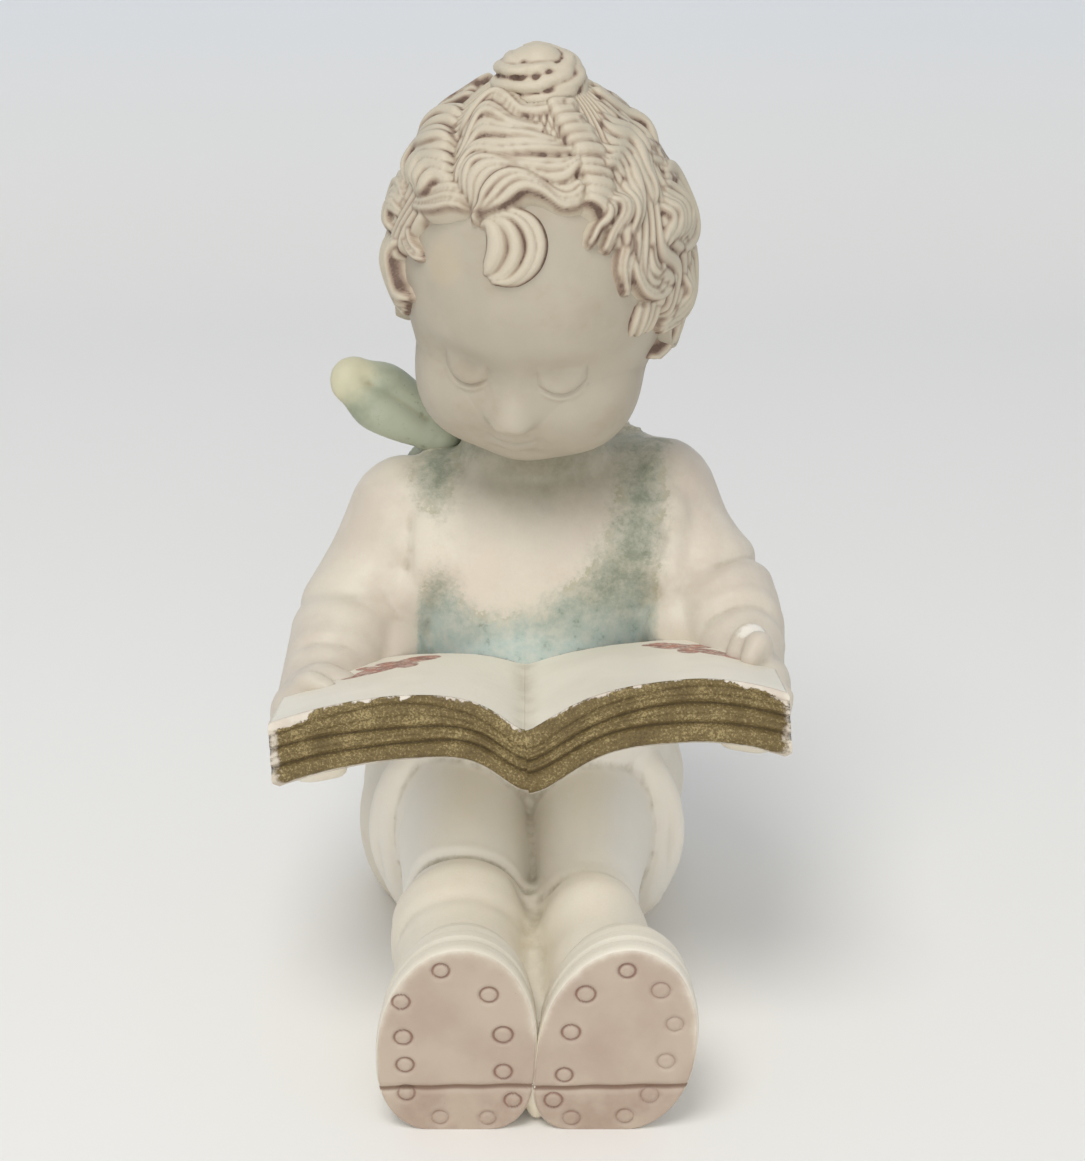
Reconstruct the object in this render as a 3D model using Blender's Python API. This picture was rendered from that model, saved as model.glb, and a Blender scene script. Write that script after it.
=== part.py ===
"""A seated child reading an open book, cast in one piece.

Metres, +Z up. The child faces -Y, and the origin is on the floor under the seat.
The figure is drawn on a grid of 140 units to its height, so its pose and carving
are shares of HEIGHT. The book and the shoes have sizes of their own.
"""
import math

import bmesh
import bpy
import numpy as np

# Driving sizes, in metres and degrees
HEIGHT = 0.140              # floor to the top of the topknot
BOOK_WIDTH = 0.0725         # fore-edge to fore-edge of the open book
BOOK_DEPTH = 0.036          # head to tail of a page
BOOK_THICKNESS = 0.0092     # the closed pages and the cover under them
PAGE_SWELL = 0.0028         # how far each page rises over the line between its edges
GUTTER_DEPTH = 0.0036       # how far the gutter lies under that line
BOOK_TILT = 13.0            # the edge away from the child is raised
BOOK_LEAN = 3.4             # the side at +X is raised
LAYER_GROOVE = 0.0007       # depth of the grooves between the gathered leaves
SOLE_WIDTH = 0.0222
SOLE_HEIGHT = 0.0282
SHOE_DEPTH = 0.0140         # sole to instep
HEEL_SEAM = 0.0066          # height of the line between heel and sole
SEAM_DEPTH = 0.0005
FLOOR_SINK = 0.0008         # how much of the underside is ground away flat

# Fineness of the mesh
BODY_VOXEL = 0.0010         # the child and clothes are fused at this size
HEAD_VOXEL = 0.0006         # and the head with its hair at this one
BODY_TRIANGLES = 2450
HEAD_TRIANGLES = 4850

UNIT = HEIGHT / 140


def units(*values):
    """Grid units to metres."""
    return np.array(values, float) * UNIT


def spline(rows, count):
    """A smooth curve through the rows, which hold a point and any radii."""
    rows = np.asarray(rows, float)
    padded = np.vstack([2 * rows[0] - rows[1], rows, 2 * rows[-1] - rows[-2]])
    place = np.linspace(0, len(rows) - 1, count)
    start = np.minimum(place.astype(int), len(rows) - 2)
    t = (place - start)[:, None]
    a, b, c, d = (padded[start + k] for k in range(4))
    return 0.5 * (2 * b + (c - a) * t + (2 * a - 5 * b + 4 * c - d) * t ** 2
                  + (3 * b - a - 3 * c + d) * t ** 3)


def unit(vectors):
    return vectors / np.maximum(np.linalg.norm(vectors, axis=-1, keepdims=True), 1e-12)


def closed_rings(rings):
    """A closed mesh from a stack of rings, with a fan of triangles at each end."""
    count, sides = rings.shape[:2]
    points = np.vstack([rings.reshape(-1, 3), rings[0].mean(0), rings[-1].mean(0)])
    faces = []
    for row in range(count - 1):
        for k in range(sides):
            a = row * sides + k
            b = row * sides + (k + 1) % sides
            faces.append((a, b, b + sides, a + sides))
    last = (count - 1) * sides
    for k in range(sides):
        after = (k + 1) % sides
        faces.append((after, k, count * sides))
        faces.append((last + k, last + after, count * sides + 1))
    return points, faces


def tube(path, across, height, up, sides=14, power=2.0):
    """A rounded section carried along a path: across and height are its half sizes.

    A power of 2 makes an ellipse, a higher one a squarer section.
    """
    ahead = unit(np.gradient(path, axis=0))
    side = unit(np.cross(ahead, up))
    top = np.cross(side, ahead)
    turn = np.linspace(0, 2 * math.pi, sides, endpoint=False)[None, :, None]
    reach = (np.abs(np.cos(turn)) ** power + np.abs(np.sin(turn)) ** power) ** (-1 / power)
    return closed_rings(path[:, None] + across[:, None, None] * np.cos(turn) * reach * side[:, None]
                        + height[:, None, None] * np.sin(turn) * reach * top[:, None])


def limb(stations, count=24, sides=20, up=(0, 0, 1), power=2.0):
    """A limb through stations of x, y, z, half width and half height, with round ends."""
    rows = spline([units(*row) for row in stations], count)
    ahead = unit(np.gradient(rows[:, :3], axis=0))
    caps = np.radians([80, 55, 30])
    first, last = rows[0], rows[-1]
    start = [np.r_[first[:3] - ahead[0] * first[3] * math.sin(a), first[3:] * math.cos(a)] for a in caps]
    end = [np.r_[last[:3] + ahead[-1] * last[3] * math.sin(a), last[3:] * math.cos(a)] for a in caps[::-1]]
    rows = np.vstack([start, rows, end])
    return tube(rows[:, :3], rows[:, 3], rows[:, 4], np.array(up, float), sides, power)


def turned(pitch=0, yaw=0, roll=0):
    """Turns about X, then Y, then Z, in degrees, as one matrix."""
    (a, b, c) = np.radians([pitch, roll, yaw])
    about_x = np.array([[1, 0, 0], [0, math.cos(a), -math.sin(a)], [0, math.sin(a), math.cos(a)]])
    about_y = np.array([[math.cos(b), 0, math.sin(b)], [0, 1, 0], [-math.sin(b), 0, math.cos(b)]])
    about_z = np.array([[math.cos(c), -math.sin(c), 0], [math.sin(c), math.cos(c), 0], [0, 0, 1]])
    return about_z @ about_x @ about_y


def directions(longitude, latitude):
    """Unit vectors: longitude 0 is the face, at -Y, and 90 is +X; latitude 90 is up."""
    lon, lat = np.radians(longitude), np.radians(latitude)
    return np.stack([np.cos(lat) * np.sin(lon), -np.cos(lat) * np.cos(lon), np.sin(lat)], -1)


def ball(centre, radii, turn=None, rows=20, columns=28):
    """An ellipsoid in grid units."""
    lat = np.linspace(-87, 87, rows)
    lon = np.linspace(0, 360, columns, endpoint=False)
    shell = directions(*np.meshgrid(lon, lat)) * units(*radii)
    if turn is not None:
        shell = shell @ turn.T
    return closed_rings(shell + units(*centre))


# The head, in its own frame: the face at -Y, its crown up, its origin in the skull

HEAD_CENTRE = (0.3, -8.5, 106.8)
HEAD_TURN = turned(pitch=22, yaw=-12, roll=4)
SKULL = [  # centre and radii of the ellipsoids that the head is blended from
    ((0, 1.5, 2.0), (20.4, 22.6, 22.4)),
    ((0, -5.5, -9.5), (15.4, 15.2, 16.4)),
    ((7.6, -9.6, -12.5), (7.9, 8.4, 8.4)),
    ((-7.6, -9.6, -12.5), (7.9, 8.4, 8.4)),
]
BLEND = 2.0                 # reach of the blending between them
FACE = [  # place, reach and height of the swellings and hollows of the face
    ((0, -24, -9.4), (2.0, 9, 1.9), 2.4),
    ((0, -24, -5.6), (1.5, 9, 3.0), 0.9),
    ((1.9, -23, -10.0), (1.2, 9, 1.2), 0.7),
    ((-1.9, -23, -10.0), (1.2, 9, 1.2), 0.7),
    ((7.4, -20, -4.4), (4.0, 9, 2.4), -1.3),
    ((-7.4, -20, -4.4), (4.0, 9, 2.4), -1.3),
    ((7.4, -20, -5.4), (2.9, 9, 1.6), 1.3),
    ((-7.4, -20, -5.4), (2.9, 9, 1.6), 1.3),
    ((0, -20, -13.8), (2.4, 9, 0.9), 0.8),
    ((0, -20, -16.2), (2.1, 9, 0.9), 0.8),
    ((0, -20, -15.0), (3.4, 9, 0.5), -0.7),
    ((0, -19, -18.4), (2.8, 9, 0.9), -0.5),
    ((0, -18, -21.6), (3.2, 9, 2.2), 0.8),
]


def head_surface(way):
    """The skin of the head along unit vectors, from the skull's origin, in grid units."""
    total = np.zeros(way.shape[:-1])
    for centre, radii in SKULL:
        w, c = way / np.array(radii), np.array(centre) / np.array(radii)
        a, b = (w * w).sum(-1), w @ c
        root = b * b - a * (c @ c - 1)
        far = np.where(root > 0, (b + np.sqrt(np.maximum(root, 0))) / a, 0)
        total += np.exp((far - 24) / BLEND)
    skin = way * (24 + BLEND * np.log(total))[..., None]
    swell = np.zeros(way.shape[:-1])
    for place, size, height in FACE:
        off = (skin - np.array(place)) / np.array(size)
        swell += height * np.exp(-(off * off).sum(-1) / 2)
    return skin + way * swell[..., None]


def on_head(points):
    """From the head's own frame to the figure's, in metres."""
    return (points @ HEAD_TURN.T + np.array(HEAD_CENTRE)) * UNIT


def bare_head(rows=72, columns=110):
    lat = np.linspace(-88, 88, rows)
    lon = np.linspace(0, 360, columns, endpoint=False)
    return closed_rings(on_head(head_surface(directions(*np.meshgrid(lon, lat)))))


def ear(side):
    """A small round ear, set back on the head at its middle height."""
    middle = np.array([side * 18.4, -1.0, -5.5])
    turn = np.linspace(-150, 130, 16)
    rim = np.stack([np.full(16, side * 1.2), -2.9 * np.cos(np.radians(turn)) * 1.0,
                    4.2 * np.sin(np.radians(turn))], -1) + middle
    up = np.tile([side * 1.0, 0, 0.01], (16, 1))
    width = np.full(16, 1.25) * UNIT
    yield tube(on_head(rim), width, width, up @ HEAD_TURN.T, 10)
    lobe = middle + np.array([0, -1.2, -3.6])
    yield ball(tuple(on_head(lobe[None])[0] / UNIT), (1.7, 1.9, 2.0), HEAD_TURN, 10, 12)
    yield ball(tuple(on_head(middle[None])[0] / UNIT), (1.6, 2.8, 4.0), HEAD_TURN, 10, 12)


# Hair: sheaves of strands strung across rails. A rail is two or three places on the
# head, as longitude and latitude, and strand by strand the path goes from rail to rail.

LOCKS = [
    {"rails": [[(100, 78), (60, 71), (34, 52)], [(70, 84), (26, 68), (21, 47)],
               [(-90, 87), (-4, 72), (-2, 52)], [(-110, 79), (-48, 63), (-19, 46)]],
     "strands": 5, "lift": 2.4},
    {"rails": [[(-14, 46), (-14, 42)], [(4, 50), (-6, 44)], [(17, 41), (-3, 40)],
               [(9, 30), (-6, 34)], [(-7, 27), (-9, 31)]], "strands": 2, "lift": 1.3},
    {"rails": [[(-112, 76), (-36, 52)], [(-104, 66), (-44, 48)], [(-92, 54), (-48, 40)],
               [(-78, 40), (-36, 42)]], "strands": 4, "lift": 2.9},
    {"rails": [[(-50, 40), (-40, 41)], [(-58, 33), (-46, 36)], [(-55, 24), (-45, 29)],
               [(-44, 21), (-40, 25)]], "strands": 2, "lift": 1.0},
    {"rails": [[(128, 70), (42, 58)], [(112, 62), (52, 52)], [(98, 50), (58, 47)],
               [(86, 36), (60, 38)]], "strands": 4, "lift": 1.5},
    {"rails": [[(34, 52), (52, 52)], [(42, 48), (56, 44)], [(42, 40), (54, 36)],
               [(33, 36), (42, 31)]], "strands": 2, "lift": 1.2},
    {"rails": [[(62, 42), (70, 42)], [(54, 34), (66, 32)], [(48, 26), (58, 24)],
               [(44, 20), (50, 12)]], "strands": 2, "lift": 1.2},
    {"rails": [[(66, 32), (70, 30)], [(57, 24), (64, 27)], [(58, 14), (66, 22)],
               [(68, 10), (72, 20)], [(78, 16), (74, 26)]], "strands": 2, "lift": 1.2},
    {"rails": [[(58, 12), (70, 10)], [(60, 4), (72, 2)], [(62, -2), (72, -5)]],
     "strands": 2, "lift": 0.8},
]
ROUND_CURLS = [  # centre, turn of the opening, size in degrees and lift of round curls
    ((92, 28), 60, 15, 1.8), ((90, 6), -60, 15, 2.4), ((-76, 28), 120, 12, 3.3),
    ((-84, 6), -120, 14, 2.6), ((114, 16), 0, 14, 1.6), ((-108, 16), 180, 14, 1.8),
    ((112, -12), 30, 13, 1.4), ((-112, -12), 150, 13, 1.4),
    ((140, -16), 60, 13, 1.6), ((-140, -16), 120, 13, 1.6), ((168, -22), 90, 12, 1.6),
    ((-166, -20), 90, 12, 1.6), ((136, 8), -30, 15, 1.9), ((-136, 8), 210, 15, 1.9),
    ((166, 0), -60, 15, 1.9), ((-160, 4), 240, 15, 1.9),
]
HAIRLINE = [(0, 47), (34, 50), (48, 32), (60, 8), (76, -10), (100, -22), (140, -34), (180, -38)]
CAP_LIFT = 0.9
BACK_SECTORS = 7
STRAND_POINTS = 18


def along_rail(rail, share):
    """The direction at a share of the way along a rail."""
    lon, lat = np.array(rail, float).T
    curve = spline(directions(lon, lat), 41) if len(rail) > 2 else spline(
        unit(np.stack([directions(lon[0], lat[0]) * (1 - t) + directions(lon[-1], lat[-1]) * t
                       for t in (0, 0.5, 1)])), 41)
    return unit(curve)[int(round(share * 40))]


def strand(ways, width, lift, fall=0.9):
    """One strand through directions on the head, of a half width that tapers at its ends."""
    path = unit(spline(ways, STRAND_POINTS))
    along = np.linspace(0, 1, STRAND_POINTS)
    swell = np.sin(math.pi * np.clip(along * fall + (1 - fall) * 0.75, 0.02, 0.985)) ** 0.55
    skin = head_surface(path)
    reach = np.linalg.norm(skin, axis=-1, keepdims=True)
    centre = skin * (1 + (lift * (0.45 + 0.55 * swell[:, None]) - width * 0.3) / reach)
    half = width * swell * UNIT
    return tube(on_head(centre), half, half * 0.92, on_head(path) - on_head(path * 0), 8)


def sheaf(lock):
    """The strands of a lock, as wide as the room between them."""
    rails, count = lock["rails"], lock["strands"]
    for k in range(count):
        share = (k + 0.5) / count
        ways = np.array([along_rail(rail, share) for rail in rails])
        room = np.mean([np.linalg.norm(along_rail(rail, min(1, share + 0.5 / count))
                                       - along_rail(rail, max(0, share - 0.5 / count)))
                        for rail in rails])
        width = np.clip(room * 24 * 0.58, 1.0, 3.0)
        yield strand(ways, width, lock["lift"] + 0.35 * math.sin(2.4 * k))


def hair_cap(rows=60, columns=96):
    """The scalp under the locks: over the skin behind the hairline, sunk in the head before it."""
    lon, lat = np.meshgrid(np.linspace(0, 360, columns, endpoint=False), np.linspace(-88, 88, rows))
    turned_away = np.abs((lon + 180) % 360 - 180)
    behind = (lat - np.interp(turned_away, *np.array(HAIRLINE, float).T)) / 3
    lift = -1.5 + (CAP_LIFT + 1.5) / (1 + np.exp(-behind))
    way = directions(lon, lat)
    return closed_rings(on_head(head_surface(way) + way * lift[..., None]))


def round_curl(middle, opening, size, height):
    """Arcs of hair, one inside the other, round a place on the head."""
    out = directions(*middle)
    east = unit(np.cross((0, 0, 1), out))
    north = np.cross(out, east)
    for share, width in ((1, 2.3), (0.5, 2.0), (0.08, 1.7)):
        sweep = np.radians(opening + np.linspace(25, 320, 7))
        reach = math.radians(size) * share * np.linspace(0.8, 0.55, 7)
        ways = unit(out + (np.cos(sweep) * reach)[:, None] * east + (np.sin(sweep) * reach)[:, None] * north)
        yield strand(ways, width, height * (1.15 - 0.25 * share))


def back_waves():
    """Waves that run down the back of the head from the topknot, sector by sector."""
    edges = np.linspace(100, 264, BACK_SECTORS + 1)
    for k in range(BACK_SECTORS):
        left, right = edges[k] + 1, edges[k + 1] + 3
        sway = 7 if k % 2 else -7
        rails = [[(left, 66), (right, 66)], [(left + sway, 48), (right + sway, 48)],
                 [(left - sway, 30), (right - sway, 30)], [(left + sway, 12), (right + sway, 12)]]
        yield {"rails": rails, "strands": 3, "lift": 2.0}


def topknot():
    """A rolled curl that stands on the crown: rings, each higher and tighter."""
    knot = directions(-172, 78)
    east = unit(np.cross((0, 1, 0), knot))
    north = np.cross(knot, east)
    for ring, (wide, lift, width) in enumerate(((5.8, 25.4, 2.6), (4.6, 28.8, 2.5), (2.8, 31.6, 2.4),
                                                (0.7, 33.0, 2.2))):
        turn = np.radians(np.linspace(-160, 175, 18) + 40 * ring)
        path = knot * lift + wide * (np.cos(turn)[:, None] * east + 0.85 * np.sin(turn)[:, None] * north)
        half = np.full(18, width) * UNIT
        yield tube(on_head(path), half, half, np.tile(HEAD_TURN @ knot, (18, 1)), 8)


def hair():
    yield hair_cap()
    for lock in LOCKS + list(back_waves()):
        yield from sheaf(lock)
    for curl in ROUND_CURLS:
        yield from round_curl(*curl)
    yield from topknot()


# The book, in its own frame: x from fore-edge to fore-edge, y from the child's side
# to the far side at -Y, z up from the middle of its thickness

BOOK_MIDDLE = units(-0.9, -34.6, 47.2)
BOOK_TURN = turned(pitch=-BOOK_TILT, roll=-BOOK_LEAN)
LEAF_GROOVES = (0.24, 0.48, 0.73)
COVER_INSET = 0.0009        # the underside is drawn in a little
GUTTER_AT = -0.02
CREST_AT = (-0.45, 0.6)


def page_rise(across, forward):
    """The page's height over the line between its edges: across is -1 to 1, forward 0 to 1."""
    left, right = CREST_AT
    past = np.maximum((left - across) / (1 + left), (across - right) / (1 - right))
    swell = 1 - np.clip(past, 0, 1) ** 2
    away = across - GUTTER_AT
    dip = np.exp(-(np.abs(away) / np.where(away < 0, 0.15, 0.23)) ** 1.25)
    return PAGE_SWELL * swell - (PAGE_SWELL + GUTTER_DEPTH) * dip * (0.4 + 0.6 * forward)


def leaf_dent(share):
    """How far the edge is dented between the gathered leaves, at shares of the thickness."""
    return LAYER_GROOVE * sum(math.exp(-((share - k) / 0.045) ** 2) for k in LEAF_GROOVES)


def book_sheet(share, inset, across, along):
    """A grid of points at a share of the thickness, drawn in by an inset at its edges."""
    u, v = np.meshgrid(across, along)
    x = u * (BOOK_WIDTH / 2 - inset)
    y = -v * (BOOK_DEPTH / 2 - inset)
    z = page_rise(u, (v + 1) / 2) + (share - 0.5) * BOOK_THICKNESS
    return np.stack([x, y, z], -1)


def book():
    """The open book: two sheets, over and under, and rings round the edge between them."""
    across = np.concatenate([np.linspace(-1, -0.32, 5), [-0.2, -0.12, -0.07, GUTTER_AT],
                             [0.05, 0.12, 0.22], np.linspace(0.36, 1, 5)])
    along = np.linspace(-1, 1, 4)
    wide, deep = len(across), len(along)
    border = ([(0, i) for i in range(wide)] + [(j, wide - 1) for j in range(1, deep)]
              + [(deep - 1, i) for i in range(wide - 2, -1, -1)] + [(j, 0) for j in range(deep - 2, 0, -1)])
    shares = [0.0]
    for groove in LEAF_GROOVES:
        shares += [groove - 0.07, groove - 0.02, groove + 0.02, groove + 0.07]
    shares.append(1.0)
    points, faces, last = [], [], []
    for k, share in enumerate(shares):
        sheet = book_sheet(share, leaf_dent(share) + (COVER_INSET if k == 0 else 0), across, along)
        start = len(points)
        ring = [start + n for n in range(len(border))]
        if k in (0, len(shares) - 1):
            points += list(sheet.reshape(-1, 3))
            ring = [start + j * wide + i for j, i in border]
            for j in range(deep - 1):
                for i in range(wide - 1):
                    a = start + j * wide + i
                    faces.append((a, a + 1, a + wide + 1, a + wide))
        else:
            points += [sheet[j, i] for j, i in border]
        for n in range(len(last)):
            m = (n + 1) % len(last)
            faces.append((last[n], last[m], ring[m], ring[n]))
        last = ring
    return np.array(points) @ BOOK_TURN.T + BOOK_MIDDLE, faces


def at_book_edge(side, back, over):
    """A place beside the book's edge, in grid units: back from its middle, over its flat."""
    place = np.array([side * BOOK_WIDTH / 2, back * UNIT, over * UNIT])
    return (BOOK_TURN @ place + BOOK_MIDDLE) / UNIT


# The soft forms: child and clothes, as limbs and balls in grid units


def trunk():
    yield limb([(-1.5, 7, 10, 23.5, 22), (-1, 5, 26, 22.5, 20.5), (0, 2, 42, 19.8, 16.5),
                (0, 1, 56, 19.2, 14.5), (0, 2, 66, 18, 13), (0, 3, 73, 12.5, 10)],
               up=(0, -1, 0), sides=28, power=2.8)
    yield limb([(0, 3, 70, 9.5, 9.5), (-0.5, 0, 88, 9, 9)], count=8, up=(0, -1, 0))
    yield ball((0, -6, 38), (19.2, 13.5, 17))
    yield ball((-3, 9, 17), (25.5, 23, 18.5))
    yield ball((-16, 5, 12.5), (13, 18.5, 16))
    yield ball((9.5, 5, 20), (14.2, 18.5, 14))
    for side in (-1, 1):
        yield ball((side * 13, 4, 65 + side), (9.5, 9, 8.5))


LEGS = {  # hip, over the knee, knee, fold, calf, fold and ankle: x, y, z, half width, half height
    -1: [(-12.8, 4, 17, 13, 14.5), (-12, -16, 17.5, 12, 13.5), (-11, -32, 16.5, 10.6, 12.6),
         (-10.8, -42, 14.5, 9.7, 12.0), (-10.9, -48.5, 14, 10.1, 12.6), (-10.8, -55, 13.4, 9.1, 11.0),
         (-11, -61, 13.5, 9.0, 10.8)],
    1: [(9.8, 4, 17, 12, 14.5), (9.0, -16, 17.5, 10.6, 13.5), (8.3, -32, 16.5, 8.9, 12.6),
        (7.8, -41, 14.5, 7.7, 11.8), (8.0, -47.5, 14, 8.1, 12.4), (8.7, -54, 13.4, 7.6, 11.0),
        (9.6, -61, 13.5, 8.6, 10.8)],
}
CUFFS = {-1: (-12.4, 12.6), 1: (10.0, 11.8)}    # middle and reach of the romper's cuffs


def leg(side):
    """A leg lying on the floor, and the cuff of the romper round its thigh."""
    yield limb(LEGS[side], count=34)
    middle, reach = CUFFS[side]
    turn = np.radians(np.linspace(-200, 160, 26))
    cuff = np.stack([middle + reach * np.cos(turn), -9.5 + 2.5 * np.sin(turn), 17 + 14.2 * np.sin(turn)], -1)
    half = np.full(26, 2.5) * UNIT
    yield tube(cuff * UNIT, half, half, np.tile([0, -1.0, 0.0], (26, 1)), 10)


ARMS = {  # shoulder, upper arm, elbow and forearm: x, y, z and radius
    -1: [(-19.9, 2, 65.5, 9.4), (-23.6, 0, 58.5, 8.8), (-27.9, -5, 51.5, 8.9), (-29.8, -12, 49.0, 8.2)],
    1: [(18.6, 2, 68.6, 9.2), (22.2, 0, 61.8, 8.6), (27.0, -5, 55.8, 8.7), (29.4, -12, 53.2, 8.0)],
}


def arm(side):
    """Shoulder to wrist, where the hand takes hold of the book."""
    wrist = at_book_edge(side, 10.5, 2.0) - np.array([side * 4.0, 0, 0])
    yield limb([(x, y, z, r, r) for x, y, z, r in ARMS[side]] + [(*wrist, 5.8, 5.8)], count=30)
    x, y, z, _ = ARMS[side][2]
    yield ball((x - side * 5.5, y - 4, z - 4), (5.5, 7.5, 6.5))


def hand(side):
    """A hand round the book's edge: the thumb on the page, the fingers under it."""
    inward = np.array([-side, 0, 0])
    palm = at_book_edge(side, 6.0, 1.5) + inward * 2.6
    yield ball(tuple(palm), (4.8, 6.4, 5.2), BOOK_TURN)
    page = BOOK_THICKNESS / UNIT / 2
    for back, reach, fat in ((7.5, 9.5, 2.5), (3.2, 7.0, 2.0)):
        root = at_book_edge(side, back + 1, page + 0.2) + inward * 2.5
        knuckle = at_book_edge(side, back - 0.5, page + 2.2) + inward * (reach * 0.6)
        tip = at_book_edge(side, back - 2.2, page + 1.6) + inward * reach
        yield limb([(*root, fat, fat), (*knuckle, fat, fat * 0.9), (*tip, fat * 0.8, fat * 0.7)],
                   count=12, sides=12)
    for k in range(3):
        back = 8.0 - 3.6 * k
        outer = at_book_edge(side, back, 0.5) - inward * 0.1
        under = at_book_edge(side, back, -page - 0.8) + inward * 2.0
        end = at_book_edge(side, back, -page - 0.8) + inward * 7.5
        yield limb([(*outer, 2.1, 2.1), (*under, 2.1, 2.1), (*end, 1.8, 1.8)], count=12, sides=12,
                   up=(0, -1, 0.2))


def strap_and_bow():
    """The romper's straps, and the bow that ties them on one shoulder."""
    for side in (-1, 1):
        lift = 2.4 if side > 0 else 0
        yield limb([(side * 12.5, -7, 52, 7.0, 1.5), (side * 12.8, -10, 62 + lift * 0.4, 6.2, 1.5),
                    (side * 13, -5.5, 70.5 + lift * 0.6, 5.6, 1.5), (side * 12.8, 3, 74.2 + lift * 0.8, 5.2, 1.5),
                    (side * 12, 11.5, 70, 5.2, 1.5), (side * 11, 15.5, 60, 5.6, 1.5),
                    (side * 10.5, 15, 50, 6, 1.5)], up=(0, -1, 0.6), count=30)
    yield ball((-15.5, 6.5, 77), (3.6, 3.6, 3.4))
    for tip, fat in (((-29.0, 9.5, 84.0), 4.9), ((-8, 18, 73.5), 4.4)):
        tip = np.array(tip)
        root = np.array([-16, 7, 77])
        rows = [(*(root + (tip - root) * t), fat * w, fat * 0.6 * w)
                for t, w in ((0, 0.5), (0.3, 0.95), (0.62, 1.15), (0.86, 0.9))]
        yield limb(rows, count=14, up=(0.3, -0.8, 0.5))
    for reach in (-19.5, -12.5):
        yield limb([(-16, 8.5, 75, 2.2, 1.2), (reach + 1, 15.5, 69, 3.0, 1.2), (reach, 18.5, 60, 3.4, 1.2)],
                   count=12, up=(0, 1, 0.3))


# The shoes, in rings from the sole back to the instep

SHOE_MIDDLE = {-1: -11.0, 1: 11.0}
SOLE_PLANE = -0.0712
OUTER_CORNER = {-1: 2.6, 1: 2.4}      # a higher power is a squarer corner
SOLE_LEAN = {-1: 0.05, 1: 0.11}       # how far the toes lean to +X
INNER_CORNER = 3.6
SHOE_PROFILE = [  # from the sole's face back: share of the depth, share of the outline
    (0.0, 0.965), (0.05, 1.0), (0.16, 1.0), (0.22, 0.955), (0.3, 0.985), (0.6, 0.96), (1.0, 0.72)]


def sole_outline(side, count=32):
    """Half sizes of the sole round its middle: egg shaped, with a squarer heel."""
    turn = np.linspace(0, 2 * math.pi, count, endpoint=False)
    outward = np.cos(turn) * side > 0
    low = np.sin(turn) < 0
    power = np.where(low, np.where(outward, OUTER_CORNER[side], INNER_CORNER), 2.05)
    reach = (np.abs(np.cos(turn)) ** power + np.abs(np.sin(turn)) ** power) ** (-1 / power)
    tall = np.where(low, 0.46, 0.54)
    return np.stack([np.cos(turn) * reach / 2, np.sin(turn) * reach * tall], -1)


def shoe(side):
    outline = sole_outline(side)
    stack = []
    for depth, scale in SHOE_PROFILE:
        rise = outline[:, 1] * SOLE_HEIGHT * scale
        x = SHOE_MIDDLE[side] * UNIT + outline[:, 0] * SOLE_WIDTH * scale + SOLE_LEAN[side] * rise
        z = SOLE_HEIGHT * 0.46 + rise
        y = np.full(len(outline), SOLE_PLANE + depth * SHOE_DEPTH)
        stack.append(np.stack([x, y, z], -1))
    return closed_rings(np.array(stack)[::-1])


def mesh_from(forms, name, smooth=False):
    """One mesh that holds the forms, each closed and facing out."""
    shape = bmesh.new()
    for points, faces in forms:
        corners = [shape.verts.new(p) for p in points]
        made = [shape.faces.new([corners[k] for k in face]) for face in faces]
        bmesh.ops.recalc_face_normals(shape, faces=made)
        for face in made:
            face.smooth = smooth
    mesh = bpy.data.meshes.new(name)
    shape.to_mesh(mesh)
    shape.free()
    return mesh


def add_object(mesh, name):
    placed = bpy.data.objects.new(name, mesh)
    bpy.context.scene.collection.objects.link(placed)
    return placed


def evaluated_copy(placed):
    """The object's mesh with its modifiers applied."""
    graph = bpy.context.evaluated_depsgraph_get()
    return bpy.data.meshes.new_from_object(placed.evaluated_get(graph))


def without_pockets(mesh):
    """Keeps the largest of the mesh's parts, and drops the pockets of air that forms enclose."""
    shape = bmesh.new()
    shape.from_mesh(mesh)
    left, largest = set(shape.verts), []
    while left:
        edge_of_part = [left.pop()]
        part = list(edge_of_part)
        while edge_of_part:
            near = {edge.other_vert(vert) for vert in edge_of_part for edge in vert.link_edges} & left
            left -= near
            edge_of_part = list(near)
            part += edge_of_part
        largest = max(largest, part, key=len)
    kept = set(largest)
    bmesh.ops.delete(shape, geom=[vert for vert in shape.verts if vert not in kept], context="VERTS")
    shape.to_mesh(mesh)
    shape.free()
    return mesh


def fused(forms, name, voxel, smooth_steps, triangles):
    """An object of forms fused into one skin, softened, and brought down to so many triangles."""
    clay = add_object(mesh_from(forms, name + "_forms", smooth=True), name + "_forms")
    remesh = clay.modifiers.new("fuse", "REMESH")
    remesh.mode = "VOXEL"
    remesh.voxel_size = voxel
    remesh.use_smooth_shade = True
    soften = clay.modifiers.new("soften", "SMOOTH")
    soften.factor = 0.5
    soften.iterations = smooth_steps
    placed = add_object(without_pockets(evaluated_copy(clay)), name)
    bpy.data.objects.remove(clay)
    fewer = placed.modifiers.new("fewer_faces", "DECIMATE")
    fewer.ratio = triangles / (2 * len(placed.data.polygons))
    return placed


def between_ankles():
    """The casting's web where the shoes meet."""
    return limb([(-0.2, -58, 9.5, 3.0, 8.5), (0, -68.5, 9.5, 1.8, 7.5)], count=6)


def child_and_clothes():
    forms = list(trunk()) + list(strap_and_bow()) + [between_ankles()]
    for side in (-1, 1):
        for make in (leg, arm, hand):
            forms += list(make(side))
    return forms


def head_and_hair():
    return [bare_head()] + list(hair()) + list(ear(-1)) + list(ear(1))


def set_aside(placed):
    """Keeps an object that only serves to cut or to join out of the picture."""
    placed.hide_render = True
    placed.display_type = "WIRE"
    return placed


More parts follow.
